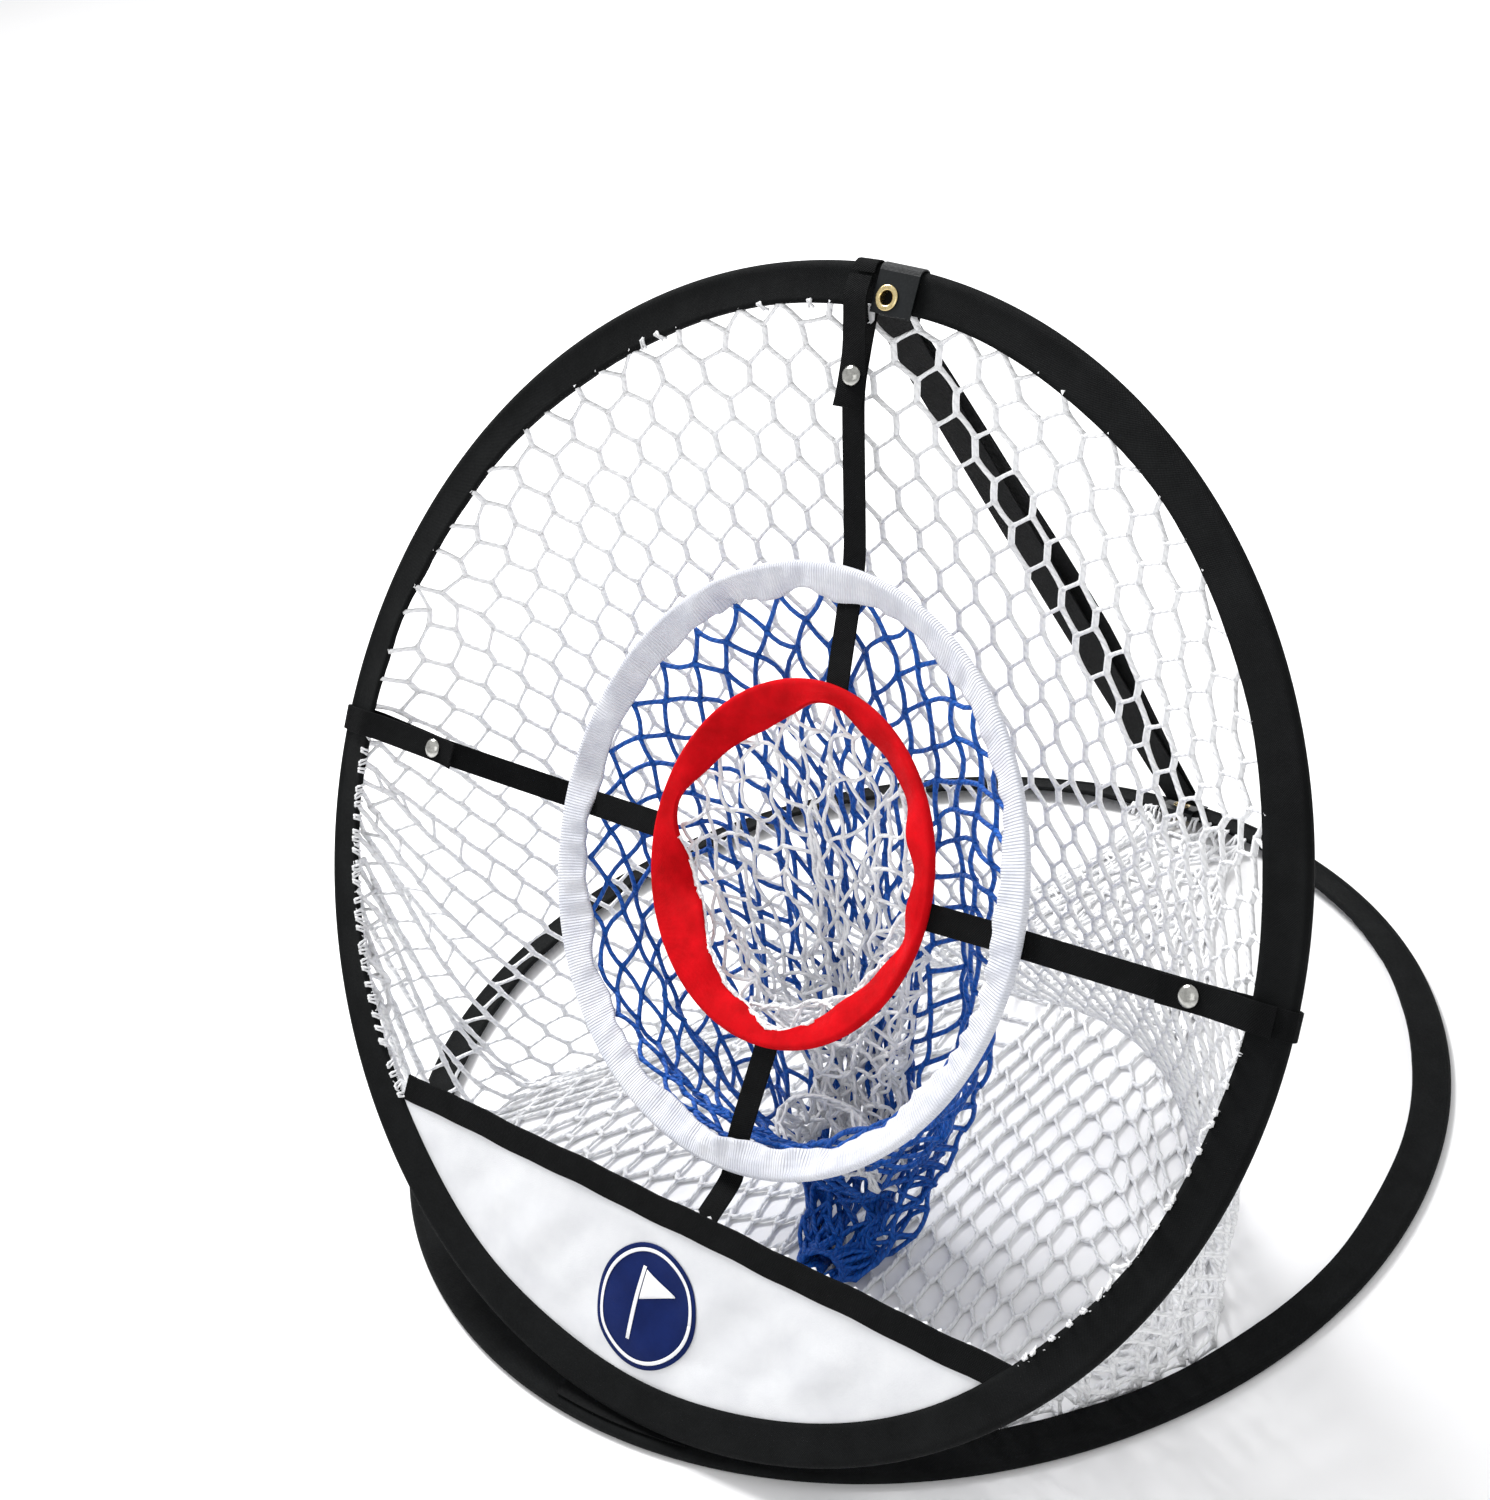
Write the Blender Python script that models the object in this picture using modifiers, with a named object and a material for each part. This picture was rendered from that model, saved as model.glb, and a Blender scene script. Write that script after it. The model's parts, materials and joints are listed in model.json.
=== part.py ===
"""Folding golf chipping net: a leaning front hoop and a base hoop, joined by a sewn hinge.

Metres, +Z up, floor at Z = 0, the target faces -Y. The front hoop's parts are placed in its own
plane: x across, y up the plane, z out of its face.
"""

import math
from math import cos, pi, radians, sin

import bmesh
import bpy
from mathutils import Matrix, Vector

GAP = 0.0003  # clearance between pieces that touch

# hoops and their folded fabric sleeves
BASE_R = 0.3123  # outer radius of the base hoop
FRONT_R = 0.305  # outer radius of the front hoop
TUBE_R = 0.0033  # half thickness of a sleeve round its wire
BAND = 0.022  # width of a sleeve, outer edge to inner edge
WALL = 0.0008  # sleeve fabric
SLIT = 0.0010  # gap between the sleeve's two layers
WIRE_R = 0.0015
BIG_STEPS = 48
RAISE_MID, RAISE_SWING = radians(15), radians(7)  # how far the base sleeve's inner edge lifts
FRONT_TWIST = radians(14)  # how far the front sleeve's inner edge turns forward at the sides

# how the front hoop stands on the base hoop
LEAN = radians(56)  # front plane above the floor
FRONT_SHIFT = 0.0334  # front hoop's centre line to the right of the base hoop's
FOLD_Y, FOLD_Z = -0.2998, 0.0122  # the fold axis is the front sleeve's tube at its lowest point
STRAP_PROUD = 0.0019  # how far a strap stands out round the front hoop
BASE_TURN = radians(1.25)  # turns the base so that its foot falls in the middle of a facet
BASE_X = -(FRONT_SHIFT + FRONT_R + STRAP_PROUD - BASE_R) / 2  # centres the whole on X = 0
FRONT_X = BASE_X + FRONT_SHIFT

# target rings, hung behind the front plane and turned a little
TARGET_AT = (0.0012, -0.0055, -0.018)
TARGET_YAW = radians(5)
SMALL_STEPS = 36
TARGET_R, TARGET_BAND = 0.160, 0.0172
BULL_R, BULL_BAND = 0.0957, 0.0130
BULL_AT = (0.0066, 0.0044)  # bullseye ring's centre from the target ring's
SMALL_TUBE_R, SMALL_WIRE_R, SMALL_WALL = 0.0026, 0.00125, 0.0007

# webbing
STRAP_W, STRAP_T = 0.014, 0.0012
REAR_W, REAR_T = 0.025, 0.0010
RIGHT_ENDS = (-0.006, 0.002)  # height of the right strap at the bullseye ring and at the hoop
LEFT_ENDS = (-0.004, 0.006)
TOP_ENDS = (0.0163, -0.0048)  # place across of the top strap, at the same two ends
BOTTOM_TOP_U, BOTTOM_U = 0.0187, 0.0148
REAR_TOP_U = -0.005

# front panel and its binding
BIND_W, BIND_T, BIND_Y, BIND_TILT = 0.015, 0.0022, -0.1935, radians(-1.9)
PANEL_T = 0.0004

# snaps, measured from the hoop's centre
SNAP_R = {"right": 0.2529, "left": 0.2336, "top": 0.2480}
HINGE_R, HINGE_N = 0.2985, 0.0062
FLAP_TAIL = 0.016  # how far a flap runs on past its snap

# eyelets
EYELET_R, EYELET_HOLE = 0.0066, 0.0038
WRAP_W, WRAP_T = 0.0246, 0.0008
TOP_WRAP_U, TOP_EYELET_U, TOP_EYELET_RAD = 0.0169, 0.0122, 0.2885
FOOT_ANGLE = radians(87.5)

# nets
NET_T = 0.0008
NET_RIM_R, NET_RIM_N, NET_CHORD = 0.290, -0.0075, -0.1935
NET_FOOT = Vector((BASE_X + 0.0136, 0.262, 0.020))
TARGET_POCKET_END = Vector((BASE_X + 0.073, -0.149, 0.013))
BULL_POCKET_END = Vector((BASE_X + 0.050, -0.145, 0.105))

PIVOT = Vector((FRONT_X, FOLD_Y, FOLD_Z))
FOLD = Matrix.Translation(PIVOT) @ Matrix.Rotation(LEAN, 4, "X")
FRONT = FOLD @ Matrix.Translation((0, FRONT_R - TUBE_R, 0))
TARGET = FRONT @ Matrix.Translation(TARGET_AT) @ Matrix.Rotation(-TARGET_YAW, 4, "Y")
BULL = TARGET @ Matrix.Translation((*BULL_AT, 0))
BASE = Matrix.Translation((BASE_X, 0, TUBE_R)) @ Matrix.Rotation(BASE_TURN, 4, "Z")
IDENTITY = Matrix.Identity(4)


def clear_scene():
    for obj in list(bpy.data.objects):
        bpy.data.objects.remove(obj, do_unlink=True)


def make_collection(name):
    made = bpy.data.collections.new(name)
    bpy.context.scene.collection.children.link(made)
    return made


def make_material(name, color, roughness, metallic=0.0):
    made = bpy.data.materials.new(name)
    made.use_nodes = True
    shader = made.node_tree.nodes["Principled BSDF"]
    shader.inputs["Base Color"].default_value = (*color, 1)
    shader.inputs["Roughness"].default_value = roughness
    shader.inputs["Metallic"].default_value = metallic
    return made


clear_scene()
PARTS = make_collection("golf_chipping_net")
CUTTERS = make_collection("cutters")
BLACK = make_material("black_sleeve", (0.012, 0.013, 0.014), 0.75)
WEBBING = make_material("black_webbing", (0.010, 0.010, 0.011), 0.7)
NYLON = make_material("black_nylon", (0.012, 0.014, 0.016), 0.35)
WHITE = make_material("white_sleeve", (0.86, 0.87, 0.9), 0.6)
RED = make_material("red_sleeve", (0.80, 0.012, 0.020), 0.55)
PANEL = make_material("white_panel", (0.84, 0.85, 0.87), 0.5)
NET = make_material("white_net", (0.85, 0.86, 0.88), 0.35)
BLUE_NET = make_material("blue_net", (0.012, 0.11, 0.52), 0.4)
STEEL = make_material("spring_steel", (0.35, 0.36, 0.38), 0.35, 1.0)
CRIMP = make_material("crimp_metal", (0.55, 0.56, 0.58), 0.3, 1.0)
CHROME = make_material("snap_metal", (0.72, 0.72, 0.70), 0.16, 1.0)
BRASS = make_material("eyelet_brass", (0.78, 0.62, 0.30), 0.22, 1.0)


class Pivot:
    """An empty on a joint's axis, with its world matrix kept beside it."""

    def __init__(self, name, world):
        self.empty = bpy.data.objects.new(name, None)
        PARTS.objects.link(self.empty)
        self.empty.matrix_basis = world
        self.world = world

    def hold(self, obj, world):
        obj.parent = self.empty
        obj.matrix_basis = self.world.inverted() @ world
        return obj


def place(name, mesh, material, world, pivot=None, smooth=True):
    if smooth and isinstance(mesh, bpy.types.Mesh):
        mesh.shade_smooth()
        mesh.set_sharp_from_angle(angle=radians(40))
    obj = bpy.data.objects.new(name, mesh)
    PARTS.objects.link(obj)
    mesh.materials.append(material)
    obj.matrix_basis = world
    return pivot.hold(obj, world) if pivot else obj


def loft(sections, closed):
    """A solid skin over equal-length closed sections, capped unless it closes on itself."""
    bm = bmesh.new()
    rows = [[bm.verts.new(p) for p in section] for section in sections]
    count = len(rows)
    for i in range(count if closed else count - 1):
        a, b = rows[i], rows[(i + 1) % count]
        for j in range(len(a)):
            k = (j + 1) % len(a)
            bm.faces.new((a[j], a[k], b[k], b[j]))
    if not closed:
        bm.faces.new(rows[0][::-1])
        bm.faces.new(rows[-1])
    bmesh.ops.recalc_face_normals(bm, faces=bm.faces)
    mesh = bpy.data.meshes.new("loft")
    bm.to_mesh(mesh)
    bm.free()
    return mesh


def ring(radius, profile, steps, start=0.0, turn=2 * pi):
    """A profile of (outward, up) points swept round +Z. It may change with the angle."""
    closed = turn > 2 * pi - 0.001
    sections = []
    for i in range(steps if closed else steps + 1):
        angle = start + turn * i / steps
        out = Vector((cos(angle), sin(angle), 0))
        sections.append([out * (radius + r) + Vector((0, 0, z)) for r, z in profile(angle)])
    return loft(sections, closed)


def sleeve_profile(band, tube_r, wall, slit, turn):
    """Fabric folded round a wire: a tube with two flat layers running inward, open between."""
    end = band - tube_r
    inward = Vector((-cos(turn), sin(turn)))
    across = Vector((sin(turn), cos(turn)))
    corners = [radians(22.5 + 45 * k) for k in range(-3, 3)]
    outer = [Vector((cos(a), sin(a))) * tube_r / cos(pi / 8) for a in corners]
    inner = [Vector((cos(a), sin(a))) * (tube_r - wall) / cos(pi / 8) for a in corners]
    lip = slit / 2 + wall
    top = [inward * end + across * lip, inward * end + across * slit / 2]
    bottom = [inward * end - across * slit / 2, inward * end - across * lip]
    return outer + top + inner[::-1] + bottom


def wire(name, radius, wire_r, steps, seam, world, pivot=None):
    """Spring wire, its two ends meeting inside the ferrule in the middle of a facet."""
    curve = bpy.data.curves.new(name, "CURVE")
    curve.dimensions = "3D"
    spline = curve.splines.new("POLY")
    half_gap = 0.0005 / radius
    facet = radius * cos(pi / steps)
    points = [(facet, seam + half_gap)]
    points += [(radius, seam + pi / steps + 2 * pi * i / steps) for i in range(steps)]
    points.append((facet, seam + 2 * pi - half_gap))
    spline.points.add(len(points) - 1)
    for point, (r, angle) in zip(spline.points, points):
        point.co = (r * cos(angle), r * sin(angle), 0, 1)
    curve.bevel_depth = wire_r
    curve.bevel_resolution = 2
    curve.use_fill_caps = True
    return place(name, curve, STEEL, world, pivot)


def ferrule(name, radius, wire_r, length, steps, angle, world, pivot=None):
    """A crimped tube over the wire's ends, lying along one facet of the hoop."""
    bore = wire_r + GAP
    world = (
        world
        @ Matrix.Rotation(angle, 4, "Z")
        @ Matrix.Translation((radius * cos(pi / steps), 0, 0))
        @ Matrix.Rotation(-pi / 2, 4, "X")
    )
    out = bore + 0.0004
    half = length / 2
    profile = [(bore, half), (out, half), (out, -half), (bore, -half)]
    return turned(name, profile, CRIMP, world, pivot, steps=10, closed=True)


def solidify(obj, thickness, offset=0):
    mod = obj.modifiers.new("wall", "SOLIDIFY")
    mod.thickness = thickness
    mod.offset = offset
    mod.use_even_offset = False


def turned(name, profile, material, world, pivot=None, steps=14, closed=False):
    """A profile of (radius, z) points, top to bottom down its outer side, turned about +Z."""
    bm = bmesh.new()
    verts = [bm.verts.new((r, 0, z)) for r, z in profile]
    for a, b in zip(verts, verts[1:]):
        bm.edges.new((a, b))
    if closed:
        bm.edges.new((verts[-1], verts[0]))
    mesh = bpy.data.meshes.new(name)
    bm.to_mesh(mesh)
    bm.free()
    obj = place(name, mesh, material, world, pivot, smooth=False)
    mod = obj.modifiers.new("turn", "SCREW")
    mod.axis = "Z"
    mod.steps = steps
    mod.render_steps = steps
    mod.use_merge_vertices = True
    mod.merge_threshold = 0.00001
    mod.use_smooth_shade = True
    return obj


def ribbon(path, across, width, thickness):
    """Webbing along a path of points, with its width along one direction."""
    across = Vector(across).normalized()
    points = [Vector(p) for p in path]
    sections = []
    for i, p in enumerate(points):
        ahead = points[min(i + 1, len(points) - 1)] - p
        behind = p - points[max(i - 1, 0)]
        tangents = [t.normalized() for t in (behind, ahead) if t.length > 1e-9]
        tangent = sum(tangents, Vector()).normalized()
        normal = tangent.cross(across).normalized()
        stretch = 1 / max(0.5, tangents[0].dot(tangent))
        side, thick = across * width / 2, normal * thickness / 2 * stretch
        sections.append([p - side - thick, p + side - thick, p + side + thick, p - side + thick])
    return loft(sections, closed=False)


def cut(obj, cutter):
    mod = obj.modifiers.new("hole", "BOOLEAN")
    mod.operation = "DIFFERENCE"
    mod.solver = "EXACT"
    mod.object = cutter


def drill(name, radius, depth, world):
    """A cylinder cutter along the local Z of its world matrix."""
    bm = bmesh.new()
    bmesh.ops.create_cone(
        bm, cap_ends=True, segments=14, radius1=radius, radius2=radius, depth=depth
    )
    mesh = bpy.data.meshes.new(name)
    bm.to_mesh(mesh)
    bm.free()
    obj = bpy.data.objects.new(name, mesh)
    CUTTERS.objects.link(obj)
    obj.matrix_basis = world
    obj.hide_render = True
    obj.display_type = "WIRE"
    return obj


def shell(name, rim, path, rows, material, world, pivot=None):
    """A net bag as a thin shell: each rim point runs along its own path."""
    bm = bmesh.new()
    grid = [[bm.verts.new(path(p, t)) for p in rim] for t in rows]
    for a, b in zip(grid, grid[1:]):
        for j in range(len(a)):
            k = (j + 1) % len(a)
            bm.faces.new((a[j], a[k], b[k], b[j]))
    mesh = bpy.data.meshes.new(name)
    bm.to_mesh(mesh)
    bm.free()
    obj = place(name, mesh, material, world, pivot)
    solidify(obj, NET_T)
    return obj


def base_raise(angle):
    return RAISE_MID + RAISE_SWING * sin(angle)


def front_twist(angle):
    return FRONT_TWIST * max(0.0, cos(2 * angle))


def make_base():
    tube = BASE_R - TUBE_R
    sleeve = place(
        "base_hoop_sleeve",
        ring(
            tube, lambda a: sleeve_profile(BAND, TUBE_R, WALL, SLIT, base_raise(a)), BIG_STEPS
        ),
        BLACK,
        BASE,
    )
    seam = radians(198.75)
    wire("base_hoop_wire", tube, WIRE_R, BIG_STEPS, seam, BASE)
    ferrule("base_hoop_ferrule", tube, WIRE_R, 0.026, BIG_STEPS, seam, BASE)

    low, high = TUBE_R + 0.0009, TUBE_R + 0.0017
    tape = [(-0.0165, low), (-0.0015, low), (-0.0015, high), (-0.0165, high)]
    start = radians(-90 + 3 - 8)
    mesh = ring(tube, lambda a: tape, 8, start, radians(16))
    place("hinge_tape", mesh, WEBBING, BASE)

    lift = base_raise(FOOT_ANGLE)
    foot = (
        BASE
        @ Matrix.Rotation(FOOT_ANGLE - BASE_TURN, 4, "Z")
        @ Matrix.Translation((tube * cos(pi / BIG_STEPS), 0, 0))
        @ Matrix.Rotation(pi, 4, "Z")
        @ Matrix.Rotation(-lift, 4, "Y")
    )
    top, under = TUBE_R + 0.0011, -0.0030
    nose = BAND - TUBE_R + 0.0012
    path = [(-0.001, top), (nose - 0.002, top), (nose, 0.0027), (nose, -0.0012)]
    path += [(nose - 0.002, under), (0.0085, under)]
    wrap = place(
        "base_eyelet_wrap",
        ribbon([(a, 0, n) for a, n in path], (0, 1, 0), WRAP_W, WRAP_T),
        NYLON,
        foot,
    )
    at = foot @ Matrix.Translation((0.0130, 0, 0))
    hole = drill("base_eyelet_cut", EYELET_HOLE + 0.0009, 0.03, at)
    cut(sleeve, hole)
    cut(wrap, hole)
    eyelet("base_eyelet", at, top + WRAP_T / 2 + GAP, under - WRAP_T / 2 - GAP, 0.0055)

    curve = bpy.data.curves.new("net_tie", "CURVE")
    curve.dimensions = "3D"
    spline = curve.splines.new("POLY")
    route = [NET_FOOT + Vector((0, 0.0008 * k, 0.0001 * k * (7 - k))) for k in range(8)]
    spline.points.add(len(route) - 1)
    for point, p in zip(spline.points, route):
        point.co = (*p, 1)
    curve.bevel_depth = 0.0012
    curve.bevel_resolution = 1
    curve.use_fill_caps = True
    place("net_tie", curve, NET, IDENTITY)


def eyelet(name, world, top, bottom, flange, pivot=None):
    hole, out, lip = EYELET_HOLE, EYELET_HOLE + 0.0006, 0.0007
    profile = [(hole, top + lip), (flange, top + lip), (flange, top), (out, top)]
    profile += [(out, bottom), (flange, bottom), (flange, bottom - lip), (hole, bottom - lip)]
    turned(name, profile, BRASS, world, pivot, closed=True)


def make_hoop(pivot):
    tube = FRONT_R - TUBE_R
    sleeve = place(
        "front_hoop_sleeve",
        ring(
            tube, lambda a: sleeve_profile(BAND, TUBE_R, WALL, SLIT, front_twist(a)), BIG_STEPS
        ),
        BLACK,
        FRONT,
        pivot,
    )
    seam = radians(-63.75)
    wire("front_hoop_wire", tube, WIRE_R, BIG_STEPS, seam, FRONT, pivot)
    ferrule("front_hoop_ferrule", tube, WIRE_R, 0.026, BIG_STEPS, seam, FRONT, pivot)

    angle = math.acos(TOP_WRAP_U / tube)
    wrap_at = (
        FRONT
        @ Matrix.Rotation(angle, 4, "Z")
        @ Matrix.Translation((tube, 0, 0))
        @ Matrix.Rotation(pi, 4, "Z")
    )
    face = TUBE_R / cos(pi / 8) + GAP + WRAP_T / 2
    arc = [(-face * sin(radians(30 * k)), face * cos(radians(30 * k))) for k in range(7)]
    path = [(BAND - 0.0005, face), *arc, (BAND - 0.0005, -face)]
    wrap = place(
        "top_eyelet_wrap",
        ribbon([(a, 0, n) for a, n in path], (0, 1, 0), WRAP_W, WRAP_T),
        NYLON,
        FRONT,
        pivot,
    )
    pivot.hold(wrap, wrap_at)
    at = FRONT @ Matrix.Translation(
        (TOP_EYELET_U, math.sqrt(TOP_EYELET_RAD**2 - TOP_EYELET_U**2), 0)
    )
    hole = drill("top_eyelet_cut", EYELET_HOLE + 0.0009, 0.03, at)
    cut(sleeve, hole)
    cut(wrap, hole)
    reach = face + WRAP_T / 2 + GAP
    eyelet("top_eyelet", at, reach, -reach, EYELET_R, pivot)


def make_panel(pivot):
    """White cloth between the sleeve's layers, with a folded binding over its top edge."""
    bind = FRONT @ Matrix.Translation((0, BIND_Y, 0)) @ Matrix.Rotation(BIND_TILT, 4, "Z")
    half_w, half_t, wall = BIND_W / 2, BIND_T / 2, (BIND_T - 0.001) / 2
    profile = [(half_w, -half_t), (half_w, half_t), (-half_w, half_t), (-half_w, half_t - wall)]
    profile += [(half_w - 0.001, half_t - wall), (half_w - 0.001, wall - half_t)]
    profile += [(-half_w, wall - half_t), (-half_w, -half_t)]
    inner = FRONT_R - BAND - 0.0006
    reach = math.sqrt(inner**2 - (BIND_Y - half_w - 0.009) ** 2)
    sections = [[Vector((x, y, z)) for y, z in profile] for x in (-reach, reach)]
    place("panel_binding", loft(sections, closed=False), WEBBING, bind, pivot, smooth=False)

    radius = FRONT_R - BAND + 0.010
    top = BIND_Y + half_w - 0.004
    side = math.asin(-(BIND_Y - 0.004) / radius)
    start, end = pi + side, 2 * pi - side
    curve = bpy.data.curves.new("front_panel", "CURVE")
    curve.dimensions = "2D"
    curve.fill_mode = "BOTH"
    curve.extrude = PANEL_T / 2
    spline = curve.splines.new("POLY")
    spline.use_cyclic_u = True
    count = 25
    angles = [start + (end - start) * i / (count - 1) for i in range(count)]
    outline = [(radius * cos(a), radius * sin(a)) for a in angles]
    slope = math.tan(BIND_TILT)
    corner = reach - 0.004
    outline += [(corner, top - 0.004 + slope * corner), (-corner, top - 0.004 - slope * corner)]
    spline.points.add(len(outline) - 1)
    for point, (x, y) in zip(spline.points, outline):
        point.co = (x, y, 0, 1)
    place("front_panel", curve, PANEL, FRONT, pivot)


def make_target_ring(name, radius, band, material, world, pivot):
    tube = radius - SMALL_TUBE_R
    profile = sleeve_profile(band, SMALL_TUBE_R, SMALL_WALL, 0.0008, 0.0)
    mesh = ring(tube, lambda a: profile, SMALL_STEPS)
    place(f"{name}_sleeve", mesh, material, world, pivot)
    seam = radians(245)
    wire(f"{name}_wire", tube, SMALL_WIRE_R, SMALL_STEPS, seam, world, pivot)
    crimp = SMALL_WIRE_R - 0.00015
    ferrule(f"{name}_ferrule", tube, crimp, 0.012, SMALL_STEPS, seam, world, pivot)


def target_depth(u):
    """How far the target's plane lies from the front plane at a point across it."""
    return TARGET_AT[2] + (u - TARGET_AT[0]) * math.tan(TARGET_YAW)


def strap_path(out, across, inner, snap_r):
    """(distance from the hoop's centre, out of its face) from the bullseye ring to the wrap."""
    behind = SMALL_TUBE_R / cos(pi / 8) + 0.0014 + STRAP_T / 2
    near, far = TARGET_R + 0.004, TARGET_R - TARGET_BAND - 0.003
    centre = Vector((TARGET_AT[0] + BULL_AT[0], TARGET_AT[1] + BULL_AT[1], 0))
    aside = inner - centre.dot(across)
    bull = centre.dot(out) + math.sqrt(BULL_R**2 - aside**2) + 0.0005
    path = [(bull, target_depth((out * bull + across * inner).x))]
    path += [(r, target_depth(out.x * r) - behind) for r in (far, near)]
    path += [(snap_r - 0.012, -0.0022), (snap_r + 0.012, -0.0022)]
    tube = FRONT_R - TUBE_R
    reach = TUBE_R / cos(pi / 8) + 0.0004 + STRAP_T / 2
    path += [(FRONT_R - BAND, -reach)]
    arc = [radians(-90 + 30 * k) for k in range(7)]
    path += [(tube + reach * cos(a), reach * sin(a)) for a in arc]
    return path + [(HINGE_R + 0.0009, reach)]


def snap(name, at, strap, tab, flap, front_pivot):
    """Cap and socket on the flap, stud on the strap. Z is measured from the middle of the gap."""
    dome = [(0, 0.0052), (0.0022, 0.0050), (0.0042, 0.0043), (0.0055, 0.0035), (0.0055, 0.0030)]
    dome += [(0.0014, 0.0030), (0.0014, 0.0006), (0, 0.0006)]
    turned(f"{name}_snap_cap", dome, CHROME, at, tab)
    socket = [(0.00175, 0.0011), (0.0046, 0.0011), (0.0046, -0.0004), (0.0033, -0.0004)]
    socket += [(0.0033, 0.0004), (0.00175, 0.0004)]
    turned(f"{name}_snap_socket", socket, CHROME, at, tab, closed=True)
    stud = [(0, 0.0001), (0.0027, 0.0001), (0.0027, -0.0008), (0.0044, -0.0008)]
    stud += [(0.0044, -0.0013), (0.0014, -0.0013), (0.0014, -0.0031), (0.0044, -0.0031)]
    stud += [(0.0044, -0.0037), (0, -0.0037)]
    turned(f"{name}_snap_stud", stud, CHROME, at, front_pivot)
    hole = drill(f"{name}_snap_cut", 0.0018, 0.02, at)
    cut(strap, hole)
    cut(flap, hole)


def make_strap(name, turn, offset, pivot):
    """A strap from the bullseye ring out round the hoop, closed by a hinged flap with a snap.

    turn is the direction of the strap's own x axis, which points from the centre to the hoop.
    """
    spin = Matrix.Rotation(turn, 4, "Z")
    out = spin @ Vector((1, 0, 0))
    across = spin @ Vector((0, 1, 0))
    inner, outer = offset
    snap_r = SNAP_R[name]

    def point(r, n):
        share = min(1.0, max(0.0, (r - BULL_R) / (FRONT_R - BAND - BULL_R)))
        return out * r + across * (inner + (outer - inner) * share) + Vector((0, 0, n))

    path = [point(r, n) for r, n in strap_path(out, across, inner, snap_r)]
    mesh = ribbon(path, across, STRAP_W, STRAP_T)
    strap = place(f"{name}_strap", mesh, WEBBING, FRONT, pivot, smooth=False)

    hinge = FRONT @ Matrix.Translation(point(HINGE_R, HINGE_N)) @ spin
    tab = Pivot(f"{name}_tab_hinge", hinge)
    route = [(HINGE_R - 0.0010, HINGE_N + 0.0004), (FRONT_R - BAND, 0.0085)]
    route += [(snap_r + 0.012, 0.0020), (snap_r - FLAP_TAIL, 0.0020)]
    mesh = ribbon([point(r, n) for r, n in route], across, STRAP_W, STRAP_T)
    flap = place(f"{name}_tab_flap", mesh, WEBBING, FRONT, tab, smooth=False)
    at = FRONT @ Matrix.Translation(point(snap_r, -0.0001))
    snap(name, at, strap, tab, flap, pivot)


def make_bottom_strap(pivot):
    behind = SMALL_TUBE_R / cos(pi / 8) + 0.0004 + STRAP_T / 2
    depth = TARGET_AT[2]
    low = TARGET_AT[1] - TARGET_R - 0.004
    high = TARGET_AT[1] - TARGET_R + TARGET_BAND + 0.003
    aside = BOTTOM_TOP_U - TARGET_AT[0] - BULL_AT[0]
    top = TARGET_AT[1] + BULL_AT[1] - math.sqrt(BULL_R**2 - aside**2) - 0.0006
    bind = BIND_Y + math.tan(BIND_TILT) * BOTTOM_U
    path = [(BOTTOM_U, bind + 0.001, -BIND_T / 2 - GAP - STRAP_T / 2)]
    path += [(BOTTOM_U, bind + 0.006, -BIND_T / 2 - 0.0012 - STRAP_T / 2)]
    path += [(BOTTOM_U * 0.75, low, depth - behind), (BOTTOM_U * 0.7, high, depth - behind)]
    path += [(BOTTOM_TOP_U, top, target_depth(BOTTOM_TOP_U))]
    mesh = ribbon(path, (1, 0, 0), STRAP_W, STRAP_T)
    place("bottom_strap", mesh, WEBBING, FRONT, pivot, smooth=False)


def make_rear_strap(pivot):
    """Two layers of tape from the top of the hoop down to the back of the base hoop."""
    top = FRONT @ Vector((REAR_TOP_U, 0.2915, -0.0125))
    foot = Vector((BASE_X + 0.0136, 0.2990, 0.0180))
    along = foot - top
    normal = along.cross(Vector((1, 0, 0))).normalized()
    if normal.y < 0:
        normal = -normal
    for name, offset, bow in (("inner", -0.0010, 0.0), ("outer", 0.0010, 0.004)):
        path = []
        for i in range(11):
            t = i / 10
            path.append(top + along * t + normal * (offset + bow * sin(pi * t)))
        mesh = ribbon(path, (1, 0, 0), REAR_W, REAR_T)
        place(f"rear_strap_{name}", mesh, WEBBING, IDENTITY, pivot, smooth=False)


def smooth_step(low, high, value):
    t = min(1.0, max(0.0, (value - low) / (high - low)))
    return t * t * (3 - 2 * t)


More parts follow.
